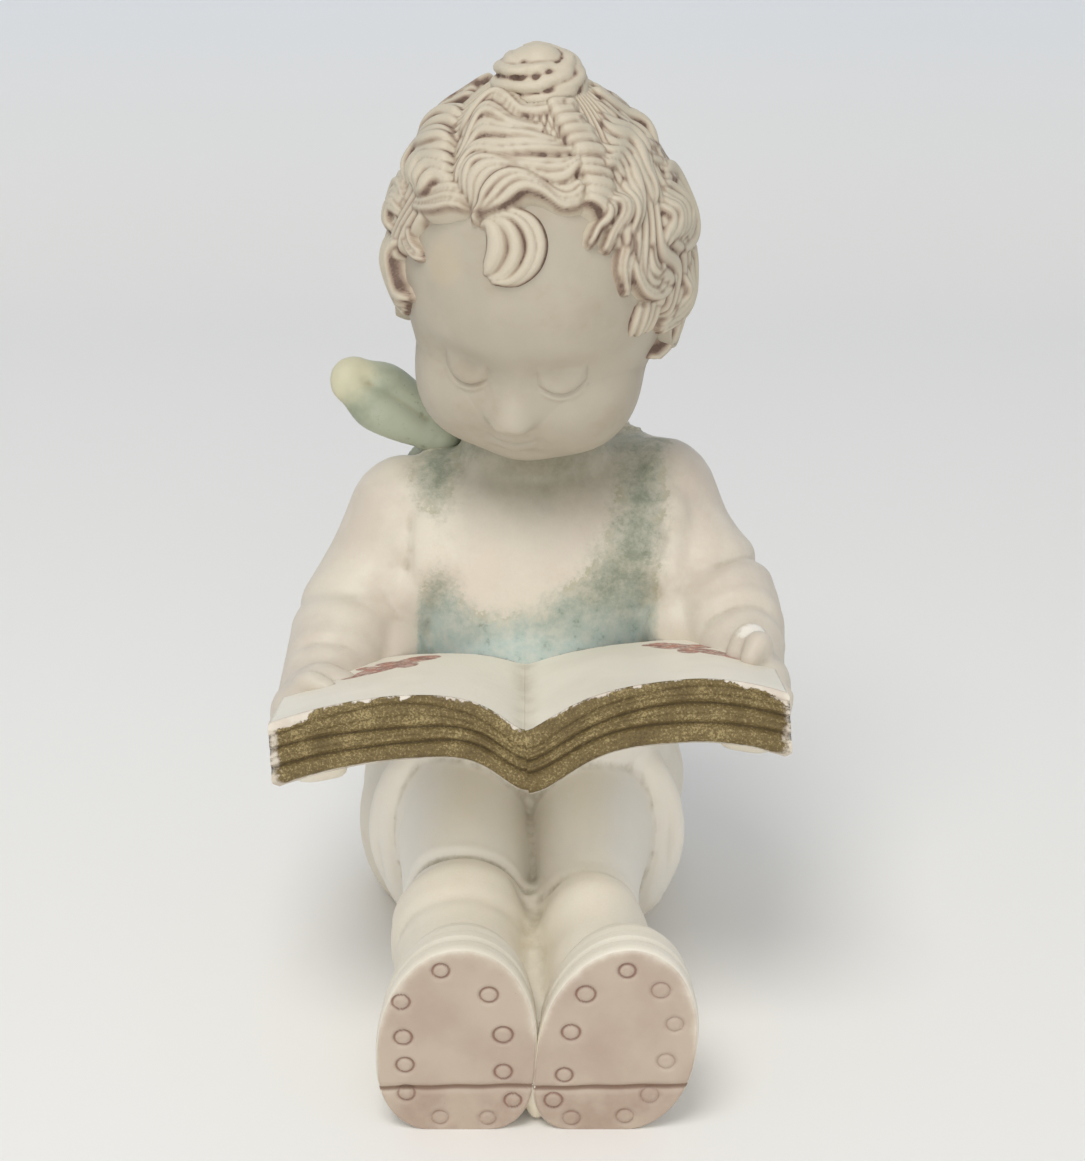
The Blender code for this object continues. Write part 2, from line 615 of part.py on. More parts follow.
def box(size, middle, turn=None):
    """A box as a form, turned about the X axis if asked."""
    corners = np.array([(x, y, z) for x in (-1, 1) for y in (-1, 1) for z in (-1, 1)], float)
    faces = [(0, 1, 3, 2), (4, 6, 7, 5), (0, 4, 5, 1), (2, 3, 7, 6), (0, 2, 6, 4), (1, 5, 7, 3)]
    corners = corners * np.array(size) / 2
    if turn is not None:
        corners = corners @ turned(pitch=turn).T
    return corners + np.array(middle), faces


def combine(placed, operation, other):
    step = placed.modifiers.new(other.name, "BOOLEAN")
    step.operation = operation
    step.solver = "EXACT"
    step.object = other


def resin():
    material = bpy.data.materials.new("cast_resin")
    material.use_nodes = True
    shader = material.node_tree.nodes["Principled BSDF"]
    shader.inputs["Base Color"].default_value = (0.78, 0.72, 0.63, 1)
    shader.inputs["Roughness"].default_value = 0.45
    shader.inputs["Metallic"].default_value = 0.0
    return material


def figurine():
    """The casting: the body, with head, book and shoes joined on, ground flat below."""
    placed = fused(child_and_clothes(), "reading_child", BODY_VOXEL, 5, BODY_TRIANGLES)
    head = fused(head_and_hair(), "carved_head", HEAD_VOXEL, 1, HEAD_TRIANGLES)
    combine(placed, "UNION", set_aside(head))
    for name, form in (("open_book", book()), ("shoe_left", shoe(-1)), ("shoe_right", shoe(1))):
        combine(placed, "UNION", set_aside(add_object(mesh_from([form], name), name)))
    seam = box((0.06, SEAM_DEPTH * 1.42, SEAM_DEPTH * 1.42), (0, SOLE_PLANE, HEEL_SEAM + FLOOR_SINK), 45)
    ground = box((0.3, 0.3, 0.06), (0, -0.02, FLOOR_SINK - 0.03))
    cutter = add_object(mesh_from([seam, ground], "seam_and_ground"), "seam_and_ground")
    combine(placed, "DIFFERENCE", set_aside(cutter))
    for each in bpy.data.objects:
        each.location = (0, 0, -FLOOR_SINK)
    placed.data.materials.append(resin())
    return placed


def main():
    for old in list(bpy.data.objects):
        bpy.data.objects.remove(old)
    figurine()


main()
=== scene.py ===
import math

import bpy
import numpy as np
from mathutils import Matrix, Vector


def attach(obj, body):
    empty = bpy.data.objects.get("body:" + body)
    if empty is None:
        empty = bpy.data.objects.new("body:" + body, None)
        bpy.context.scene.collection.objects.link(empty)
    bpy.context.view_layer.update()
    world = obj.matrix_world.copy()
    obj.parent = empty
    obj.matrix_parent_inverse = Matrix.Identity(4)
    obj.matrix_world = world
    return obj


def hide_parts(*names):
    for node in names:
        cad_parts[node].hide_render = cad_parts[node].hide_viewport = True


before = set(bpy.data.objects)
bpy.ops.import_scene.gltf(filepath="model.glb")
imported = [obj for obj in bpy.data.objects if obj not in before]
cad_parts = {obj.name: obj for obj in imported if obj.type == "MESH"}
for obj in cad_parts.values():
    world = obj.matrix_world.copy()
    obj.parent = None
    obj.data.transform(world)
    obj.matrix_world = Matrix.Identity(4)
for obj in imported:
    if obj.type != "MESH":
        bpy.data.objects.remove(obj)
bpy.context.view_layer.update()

# The figurine is drawn in millimetres, then lowered by what is ground off its underside
# and brought to metres. The child faces -Y, and +X is on the viewer's right.
groundOff = 0.8
metre = 0.001


# Small helpers on arrays

def unit(vectors):
    return vectors / np.maximum(np.linalg.norm(vectors, axis=-1, keepdims=True), 1e-12)


def smoothStep(value):
    value = np.clip(value, 0, 1)
    return value * value * (3 - 2 * value)


def bump(distance, reach):
    return np.exp(-(distance / reach) ** 2)


def spline(rows, count):
    # Catmull-Rom curve through the rows, read at count even steps
    rows = np.asarray(rows, float)
    padded = np.concatenate([2 * rows[:1] - rows[1:2], rows, 2 * rows[-1:] - rows[-2:-1]])
    spot = np.linspace(0, len(rows) - 1, count)
    start = np.minimum(spot.astype(int), len(rows) - 2)
    t = (spot - start).reshape((-1,) + (1,) * (rows.ndim - 1))
    a, b, c, d = (padded[start + k] for k in range(4))
    return 0.5 * (2 * b + (c - a) * t + (2 * a - 5 * b + 4 * c - d) * t ** 2
                  + (3 * b - a - 3 * c + d) * t ** 3)


def turned(pitch=0, yaw=0, roll=0):
    # turns about X, then Y, then Z, in degrees
    a, b, c = np.radians([pitch, roll, yaw])
    aboutX = np.array([[1, 0, 0], [0, math.cos(a), -math.sin(a)], [0, math.sin(a), math.cos(a)]])
    aboutY = np.array([[math.cos(b), 0, math.sin(b)], [0, 1, 0], [-math.sin(b), 0, math.cos(b)]])
    aboutZ = np.array([[math.cos(c), -math.sin(c), 0], [math.sin(c), math.cos(c), 0], [0, 0, 1]])
    return aboutZ @ aboutX @ aboutY


def toward(longitude, latitude):
    # unit vectors: longitude 0 is the face at -Y, 90 is +X, and latitude 90 is up
    lon, lat = np.radians(longitude), np.radians(latitude)
    return np.stack([np.cos(lat) * np.sin(lon), -np.cos(lat) * np.cos(lon), np.sin(lat)], -1)


def toPolyline(points, path):
    # distance from each point to a path of straight runs, by the nearest place on each run
    best = np.full(len(points), 1e9)
    for a, b in zip(path[:-1], path[1:]):
        run = b - a
        t = np.clip((points - a) @ run / max(run @ run, 1e-12), 0, 1)
        best = np.minimum(best, np.linalg.norm(points - a - t[:, None] * run, axis=-1))
    return best


def fromOutline(x, z, outline):
    # signed distance to a closed outline in the XZ plane, positive inside
    corners = np.array(outline, float)
    flat = np.stack([x, z], -1)
    far = toPolyline(flat, np.vstack([corners, corners[:1]]))
    inside = np.zeros(len(x), bool)
    for (ax, az), (bx, bz) in zip(corners, np.roll(corners, -1, 0)):
        crosses = (az > z) != (bz > z)
        inside ^= crosses & (x < ax + (z - az) * (bx - ax) / (bz - az if bz != az else 1e-9))
    return np.where(inside, far, -far)


# Meshes from grids

def closedGrid(rings):
    # rings stacked into a closed skin, with a fan of triangles to the middle of each end ring
    count, sides = rings.shape[:2]
    points = np.vstack([rings.reshape(-1, 3), rings[0].mean(0), rings[-1].mean(0)])
    row, k = np.meshgrid(np.arange(count - 1), np.arange(sides), indexing="ij")
    a = (row * sides + k).ravel()
    b = (row * sides + (k + 1) % sides).ravel()
    quads = np.stack([a, b, b + sides, a + sides], -1)
    k = np.arange(sides)
    after, last = (k + 1) % sides, (count - 1) * sides
    fans = np.vstack([np.stack([after, k, np.full(sides, count * sides)], -1),
                      np.stack([last + k, last + after, np.full(sides, count * sides + 1)], -1)])
    return points, quads, fans


def joined(skins):
    # several closed skins as one mesh
    points, quads, fans, start = [], [], [], 0
    for skin in skins:
        points.append(skin[0])
        quads.append(skin[1] + start)
        fans.append(skin[2] + start)
        start += len(skin[0])
    return np.vstack(points), np.vstack(quads), np.vstack(fans)


def volumeOf(points, quads, fans):
    a, b, c, d = (points[quads[:, k]] for k in range(4))
    whole = np.einsum("ij,ij->", a, np.cross(b, c)) + np.einsum("ij,ij->", a, np.cross(c, d))
    if len(fans):
        whole += np.einsum("ij,ij->", points[fans[:, 0]],
                           np.cross(points[fans[:, 1]], points[fans[:, 2]]))
    return whole / 6


def outward(skin):
    points, quads, fans = skin
    if volumeOf(points - points.mean(0), quads, fans) < 0:
        quads, fans = quads[:, ::-1], fans[:, ::-1]
    return points, quads, fans


def fillMesh(mesh, points, quads, fans):
    corners = np.concatenate([quads.ravel(), fans.ravel()]).astype(np.int32)
    starts = np.concatenate([np.arange(len(quads)) * 4, len(quads) * 4 + np.arange(len(fans)) * 3])
    mesh.vertices.add(len(points))
    mesh.vertices.foreach_set("co", np.ascontiguousarray(points, np.float32).ravel())
    mesh.loops.add(len(corners))
    mesh.loops.foreach_set("vertex_index", corners)
    mesh.polygons.add(len(starts))
    mesh.polygons.foreach_set("loop_start", starts.astype(np.int32))
    mesh.polygons.foreach_set("use_smooth", np.ones(len(starts), bool))
    mesh.update(calc_edges=True)
    mesh.validate()


def normalsOf(points, quads, fans):
    normals = np.zeros_like(points)
    a, b, c, d = (points[quads[:, k]] for k in range(4))
    flat = np.cross(c - a, d - b)
    for k in range(4):
        np.add.at(normals, quads[:, k], flat)
    if len(fans):
        flat = np.cross(points[fans[:, 1]] - points[fans[:, 0]],
                        points[fans[:, 2]] - points[fans[:, 0]])
        for k in range(3):
            np.add.at(normals, fans[:, k], flat)
    return unit(normals)


def edgesOf(quads, fans):
    pairs = [quads[:, [k, (k + 1) % 4]] for k in range(4)]
    if len(fans):
        pairs += [fans[:, [k, (k + 1) % 3]] for k in range(3)]
    return np.unique(np.sort(np.vstack(pairs), axis=1), axis=0)


def averaged(values, edges, steps):
    # each step takes a vertex's value halfway to the mean of its neighbours
    count = np.bincount(edges.ravel(), minlength=len(values)).astype(float)
    for _ in range(steps):
        near = (np.bincount(edges[:, 0], values[edges[:, 1]], len(values))
                + np.bincount(edges[:, 1], values[edges[:, 0]], len(values)))
        values = 0.5 * values + 0.5 * near / np.maximum(count, 1)
    return values


def hollowness(points, quads, fans, spread=6):
    # how hollow the skin is at each vertex: the way from it to the mean of its
    # neighbours, along the normal, after the skin is smoothed a little
    edges = edgesOf(quads, fans)
    soft = np.stack([averaged(points[:, k], edges, 3) for k in range(3)], -1)
    wide = np.stack([averaged(soft[:, k], edges, spread) for k in range(3)], -1)
    return averaged(((wide - soft) * normalsOf(points, quads, fans)).sum(-1), edges, 1)


def makePiece(name, skin, material, layers=None):
    # points in millimetres become a mesh in metres, with one named value per vertex for each layer
    points, quads, fans = skin
    mesh = bpy.data.meshes.new(name)
    fillMesh(mesh, (points - (0, 0, groundOff)) * metre, quads, fans)
    for title, values in (layers or {}).items():
        values = np.asarray(values, np.float32)
        if values.ndim == 2:
            mesh.attributes.new(title, "FLOAT_VECTOR",
                                "POINT").data.foreach_set("vector", values.ravel())
        else:
            mesh.attributes.new(title, "FLOAT", "POINT").data.foreach_set("value", values)
    mesh.materials.append(material)
    piece = bpy.data.objects.new(name, mesh)
    bpy.context.scene.collection.objects.link(piece)
    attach(piece, "root")
    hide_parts("reading_child")
    print(f"made {name}: {len(points)} points")
    return piece


def fused(skins, voxel, smoothing):
    # forms melted into one skin with the Remesh modifier, then only its largest part is kept
    mesh = bpy.data.meshes.new("clay")
    fillMesh(mesh, *joined([outward(skin) for skin in skins]))
    clay = bpy.data.objects.new("clay", mesh)
    bpy.context.scene.collection.objects.link(clay)
    remesh = clay.modifiers.new("fuse", "REMESH")
    remesh.mode = "VOXEL"
    remesh.voxel_size = voxel
    soften = clay.modifiers.new("soften", "SMOOTH")
    soften.factor = 0.5
    soften.iterations = smoothing
    graph = bpy.context.evaluated_depsgraph_get()
    solid = bpy.data.meshes.new_from_object(clay.evaluated_get(graph))
    points = np.zeros(len(solid.vertices) * 3, np.float32)
    solid.vertices.foreach_get("co", points)
    corners = np.zeros(len(solid.loops), np.int32)
    solid.loops.foreach_get("vertex_index", corners)
    bpy.data.objects.remove(clay)
    points, quads = points.reshape(-1, 3).astype(float), corners.reshape(-1, 4)
    part = np.arange(len(points))
    edges = edgesOf(quads, quads[:0])
    while True:     # spread the lowest number along the edges until each part has one
        low = np.minimum(part[edges[:, 0]], part[edges[:, 1]])
        new = part.copy()
        np.minimum.at(new, edges[:, 0], low)
        np.minimum.at(new, edges[:, 1], low)
        new = new[new]
        if (new == part).all():
            break
        part = new
    keep = part == np.bincount(part).argmax()
    number = np.cumsum(keep) - 1
    return points[keep], number[quads[keep[quads[:, 0]]]], np.zeros((0, 3), int)


def sweep(path, across, height, up, sides, power=2.0):
    # a rounded section carried along a path: point = path + across*cos*side + height*sin*top
    ahead = unit(np.gradient(path, axis=0))
    side = unit(np.cross(ahead, up))
    top = np.cross(side, ahead)
    turn = np.linspace(0, 2 * math.pi, sides, endpoint=False)[None, :, None]
    reach = (np.abs(np.cos(turn)) ** power + np.abs(np.sin(turn)) ** power) ** (-1 / power)
    return closedGrid(path[:, None] + across[:, None, None] * np.cos(turn) * reach * side[:, None]
                      + height[:, None, None] * np.sin(turn) * reach * top[:, None])


def limb(stations, count=40, sides=32, up=(0, 0, 1), power=2.0):
    # a limb through stations of x, y, z, half width and half height, with round ends
    rows = spline(stations, count)
    ahead = unit(np.gradient(rows[:, :3], axis=0))
    caps = np.radians([84, 72, 58, 44, 30, 15])
    first, last = rows[0], rows[-1]
    start = [np.r_[first[:3] - ahead[0] * first[3] * math.sin(a),
                   first[3:] * math.cos(a)] for a in caps]
    end = [np.r_[last[:3] + ahead[-1] * last[3] * math.sin(a),
                 last[3:] * math.cos(a)] for a in caps[::-1]]
    rows = np.vstack([start, rows, end])
    return sweep(rows[:, :3], rows[:, 3], rows[:, 4], np.array(up, float), sides, power)


def ball(centre, radii, turn=None, rows=28, columns=40):
    lat = np.linspace(-87, 87, rows)
    lon = np.linspace(0, 360, columns, endpoint=False)
    shell = toward(*np.meshgrid(lon, lat)) * np.array(radii, float)
    return closedGrid((shell if turn is None else shell @ turn.T) + np.array(centre, float))


# Shader nodes, written as Python expressions

class Wire:
    # a socket whose + - * and / add Math nodes
    def __init__(self, paint, socket):
        self.paint, self.socket = paint, socket

    def _math(self, operation, *values):
        return self.paint.node("ShaderNodeMath", {"operation": operation}, dict(enumerate(values)))

    def __add__(self, other): return self._math("ADD", self, other)
    def __radd__(self, other): return self._math("ADD", other, self)
    def __sub__(self, other): return self._math("SUBTRACT", self, other)
    def __rsub__(self, other): return self._math("SUBTRACT", other, self)
    def __mul__(self, other): return self._math("MULTIPLY", self, other)
    def __rmul__(self, other): return self._math("MULTIPLY", other, self)
    def __truediv__(self, other): return self._math("DIVIDE", self, other)
    def most(self, other): return self._math("MAXIMUM", self, other)

    def ramp(self, low, high):
        # 0 below low, 1 above high, with an eased climb between
        return self.paint.node("ShaderNodeMapRange", {"interpolation_type": "SMOOTHSTEP"},
                               {"Value": self, "From Min": low, "From Max": high})


class Paint:
    # one material and the few ways in which its nodes are made
    def __init__(self, name):
        self.material = bpy.data.materials.new(name)
        self.material.use_nodes = True
        self.nodes = self.material.node_tree.nodes
        self.links = self.material.node_tree.links
        self.shader = self.nodes["Principled BSDF"]
        self.place = self.node("ShaderNodeTexCoord", {}, {}, "Object")

    def node(self, kind, settings=None, inputs=None, output=0):
        made = self.nodes.new(kind)
        for name, value in (settings or {}).items():
            if name == "stops":
                while len(made.color_ramp.elements) < len(value):
                    made.color_ramp.elements.new(0.5)
                for stop, (at, shade) in zip(made.color_ramp.elements, value):
                    stop.position, stop.color = at, (*shade, 1)
            else:
                setattr(made, name, value)
        for name, value in (inputs or {}).items():
            self.set(made.inputs[name], value)
        return Wire(self, made.outputs[output])

    def set(self, socket, value):
        if isinstance(value, Wire):
            self.links.new(value.socket, socket)
        elif isinstance(value, tuple) and len(value) == 3 and socket.type == "RGBA":
            socket.default_value = (*value, 1)
        else:
            socket.default_value = value

    def layer(self, name):
        return self.node("ShaderNodeAttribute", {"attribute_name": name}, {}, "Fac")

    def vectorLayer(self, name):
        return self.node("ShaderNodeAttribute", {"attribute_name": name}, {}, "Vector")

    def noise(self, scale, detail=3.0, rough=0.5, where=None):
        return self.node("ShaderNodeTexNoise", {}, {"Vector": where or self.place, "Scale": scale,
                                                    "Detail": detail, "Roughness": rough}, "Fac")

    def stretched(self, where, factors, offset=(0, 0, 0)):
        return self.node("ShaderNodeMapping", {},
                         {"Vector": where, "Scale": factors, "Location": offset})

    def mix(self, share, first, second, mode="MIX"):
        made = self.nodes.new("ShaderNodeMix")
        made.data_type, made.blend_type = "RGBA", mode
        for socket, value in ((made.inputs[0], share), (made.inputs[6], first),
                              (made.inputs[7], second)):
            self.set(socket, value)
        return Wire(self, made.outputs[2])

    def finish(self, colour, roughness, height=None, depth=0.0002, strength=0.5, **constants):
        self.set(self.shader.inputs["Base Color"], colour)
        self.set(self.shader.inputs["Roughness"], roughness)
        for name, value in constants.items():
            self.set(self.shader.inputs[name.replace("_", " ")], value)
        if height is not None:
            relief = self.node("ShaderNodeBump", {},
                               {"Height": height, "Distance": depth, "Strength": strength})
            self.links.new(relief.socket, self.shader.inputs["Normal"])
        return self.material


def linear(red, green, blue):
    # a colour as read on screen, 0 to 255, to the linear value that a shader takes
    return tuple(round(((c / 255 + 0.055) / 1.055) ** 2.4 if c > 10 else c / 3294.6, 4)
                 for c in (red, green, blue))


resin = {
    "ivory": linear(222, 215, 199),
    "pale": linear(232, 226, 212),
    "blush": linear(226, 206, 190),
    # painted shade for the head and ears: their skin is mixed toward this darker colour
    "headShade": linear(164, 154, 136),
    "stain": linear(205, 184, 146),
    # painted light for the thighs under the book
    "clean": linear(244, 240, 231),
    "cream": linear(198, 188, 170),
    "tan": linear(164, 144, 116),
    "chip": linear(244, 240, 230),
    # the colour of painted shade on the sleeves and upper chest, and on the front and back of the
    # page block
    "dust": linear(194, 179, 164),
    # dirt in creases and dark lines; also painted shade with dirt in the book's gutter
    "grimeAndShade": linear(150, 136, 104),
    "wash": linear(150, 122, 108),
    "roughness": 0.46,
    "glow": 0.12,               # how much light goes through the skin of the resin
    "glowReach": 0.0022,
}


def resinTone(paint, stainAmount=0.5):
    # cast stone dust: ivory with slow clouds, faint yellow stains and a fine grain
    clouds = paint.noise(38, 4, 0.55).ramp(0.35, 0.68)
    tone = paint.mix(clouds, resin["ivory"], resin["pale"])
    blush = paint.noise(61, 3, 0.5,
                        paint.stretched(paint.place, (1, 1, 1), (0.3, 0.1, 0.7))).ramp(0.52, 0.74)
    tone = paint.mix(blush * 0.35, tone, resin["blush"])
    stains = paint.noise(85, 5, 0.6,
                         paint.stretched(paint.place, (1, 1, 1.6), (1.3, 0.4, 0.2))).ramp(0.6, 0.78)
    tone = paint.mix(stains * stainAmount, tone, resin["stain"])
    grain = paint.noise(2600, 2, 0.7)
    return paint.mix(grain.ramp(0.3, 0.7) * 0.10, tone, resin["stain"])


def resinRelief(paint, extra=None):
    height = paint.noise(520, 3, 0.55) * 0.6 + paint.noise(2100, 2, 0.6) * 0.35
    return height if extra is None else height + extra


def glowing(**more):
    base = {"Subsurface_Weight": resin["glow"], "Subsurface_Scale": resin["glowReach"],
            "Subsurface_Radius": (1.0, 0.72, 0.5), "Specular_IOR_Level": 0.42}
    base.update(more)
    return base


def grimed(paint, tone, hollow, amount=0.8, low=0.02, high=0.09, colour="grimeAndShade"):
    # dirt that stays in the creases, broken up by a fine noise
    broken = paint.noise(900, 4, 0.6).ramp(0.3, 0.65)
    dirt = hollow.ramp(low, high) * (0.55 + broken * 0.45)
    return paint.mix(dirt * amount, tone, resin[colour])


# Head: an implicit skull of blended ellipsoids, read along directions from its middle

head = {
    "middle": (0.3, -8.5, 106.8),
    "turn": turned(pitch=22, yaw=-12, roll=4),
    "skull": [((0, 1.5, 2.0), (20.4, 22.6, 22.4)), ((0, -5.5, -9.5), (15.4, 15.2, 16.4)),
              ((7.6, -9.6, -12.5), (7.9, 8.4, 8.4)), ((-7.6, -9.6, -12.5), (7.9, 8.4, 8.4))],
    "blend": 2.0,
    "swellings": [  # place, reach and height
        ((0, -24, -9.6), (1.9, 9, 1.75), 2.7), ((0, -24, -6.0), (1.7, 9, 2.6), 0.45),
        ((2.0, -23, -10.3), (1.1, 9, 0.95), 0.9), ((-2.0, -23, -10.3), (1.1, 9, 0.95), 0.9),
        ((9.6, -17, -12.4), (4.6, 9, 4.6), 0.9), ((-9.6, -17, -12.4), (4.6, 9, 4.6), 0.9),
        ((7.4, -20, -4.4), (4.4, 9, 2.7), -2.1), ((-7.4, -20, -4.4), (4.4, 9, 2.7), -2.1),
        ((7.4, -20, 0.4), (4.8, 9, 1.6), 0.25), ((-7.4, -20, 0.4), (4.8, 9, 1.6), 0.25),
        ((0, -20, -14.1), (2.3, 9, 0.85), 0.9), ((0, -20, -16.2), (1.9, 9, 0.9), 1.0),
        ((0, -20, -12.3), (0.7, 9, 1.1), -0.28), ((0, -19, -18.5), (2.8, 9, 0.9), -0.5),
        ((0, -18, -21.2), (3.3, 9, 2.4), 1.0), ((3.9, -20, -15.0), (0.7, 9, 0.9), -0.35),
        ((-3.9, -20, -15.0), (0.7, 9, 0.9), -0.35), ((0.95, -26, -10.9), (0.42, 9, 0.34), -0.5),
        ((-0.95, -26, -10.9), (0.42, 9, 0.34), -0.5)],
    "stain": (-35, 32, 0.19),   # longitude, latitude and reach of the yellowed spot on the forehead
    "eyeAcross": 7.4, "eyeWidth": 3.5, "lidHeight": -5.9,
    "lids": (1.5, 0.62, 0.16),  # height of the dome, depth of the line, height of the lower lid
    "mouthHeight": -15.1, "mouthDepth": 0.75,
    "radius": 24,               # the skull's usual radius
    # degrees between the grid's lines, on the face and elsewhere
    "fineStep": 0.42, "wideStep": 3.0,
}


def faceRelief(skin):
    # closed lids, as functions of x and z on the front of the face: an eyeball's dome, the
    # line where the lids meet, a thin lower lid, and the line of the mouth
    x, z = skin[..., 0], skin[..., 2]
    domeHeight, lineDepth, lowerHeight = head["lids"]
    front = smoothStep((-skin[..., 1] - 8) / 6)
    height = np.zeros(x.shape)
    for side in (-1, 1):
        u = (x - side * head["eyeAcross"]) / head["eyeWidth"]
        inside = np.clip(1 - u * u, 0, 1)
        edge = head["lidHeight"] - 1.25 * inside + 0.5
        dome = inside ** 0.7 * bump(z - edge - 1.3, 1.9)
        height += domeHeight * dome
        height -= lineDepth * inside ** 0.5 * bump(z - edge + 0.12, 0.3)
        height += lowerHeight * inside ** 0.6 * bump(z - edge + 0.75, 0.36)
    mouth = head["mouthHeight"] + 0.014 * x * x - 0.16 * bump(x, 0.9)
    height -= head["mouthDepth"] * smoothStep((3.5 - np.abs(x)) / 1.5) * bump(z - mouth, 0.34)
    return height * front


def headSkin(way, detailed=False):
    # the far hit of each ray on each ellipsoid, blended by a log of summed exponentials
    total = np.zeros(way.shape[:-1])
    for middle, radii in head["skull"]:
        w, c = way / np.array(radii), np.array(middle) / np.array(radii)
        a, b = (w * w).sum(-1), w @ c
        root = b * b - a * (c @ c - 1)
        far = np.where(root > 0, (b + np.sqrt(np.maximum(root, 0))) / a, 0)
        total += np.exp((far - head["radius"]) / head["blend"])
    skin = way * (head["radius"] + head["blend"] * np.log(total))[..., None]
    if detailed:
        swell = faceRelief(skin)
        for middle, size, height in head["swellings"]:
            off = (skin - np.array(middle)) / np.array(size)
            swell = swell + height * np.exp(-(off * off).sum(-1) / 2)
        skin = skin + way * swell[..., None]
    return skin


def onHead(points):
    return points @ head["turn"].T + np.array(head["middle"])


def denser(low, high, fineLow, fineHigh, fine, coarse):
    # a row of angles with small steps in the middle stretch and wide ones outside it
    return np.concatenate([np.arange(low, fineLow, coarse), np.arange(fineLow, fineHigh, fine),
                           np.arange(fineHigh, high, coarse)])


def headForm():
    lon = denser(-180, 180, -42, 42, head["fineStep"], head["wideStep"])
    lat = denser(-88, 89, -50, 14, head["fineStep"], head["wideStep"])
    return closedGrid(onHead(headSkin(toward(*np.meshgrid(lon, lat)), True)))


# Ears: a low dome with a raised rim and a hollow, turned out from the side of the head

ears = {"toward": (82, -13), "size": (1.9, 2.9, 4.4), "rim": 0.8, "hollow": 1.0}


def earForm(side):
    # radius across the ear gives the rim's ring at 0.78 and the hollow within 0.5
    lat, lon = np.linspace(-88, 88, 60), np.linspace(0, 360, 80, endpoint=False)
    spread, tall = np.meshgrid(lon, lat)
    out = toward(spread, tall)
    around = out[..., [1, 2]]
    radius = np.linalg.norm(around, axis=-1)
    outer = out[..., 0] * side > 0
    lobe = bump(around[..., 1] + 0.75, 0.35)
    change = np.where(outer, ears["rim"] * bump(radius - 0.8, 0.13)
                      - ears["hollow"] * smoothStep((0.62 - radius) / 0.4) * (1 - lobe)
                      + 0.35 * bump(radius - 0.5, 0.1) * (around[..., 0] > 0), 0)
    shell = out * np.array(ears["size"])
    shell[..., 1] *= 1 - 0.22 * smoothStep(-around[..., 1])
    shell[..., 0] += side * change
    lon, lat = ears["toward"]
    middle = headSkin(toward(side * lon, lat)[None])[0]
    return closedGrid(onHead(shell @ turned(yaw=side * -14, pitch=-8).T + middle))


# Hair: strands are paths of directions over the skull. Guides are given by longitude and
# latitude, strands run between neighbouring guides, and every strand has a rounded ridge.
# The carved surface is the highest ridge over each direction.

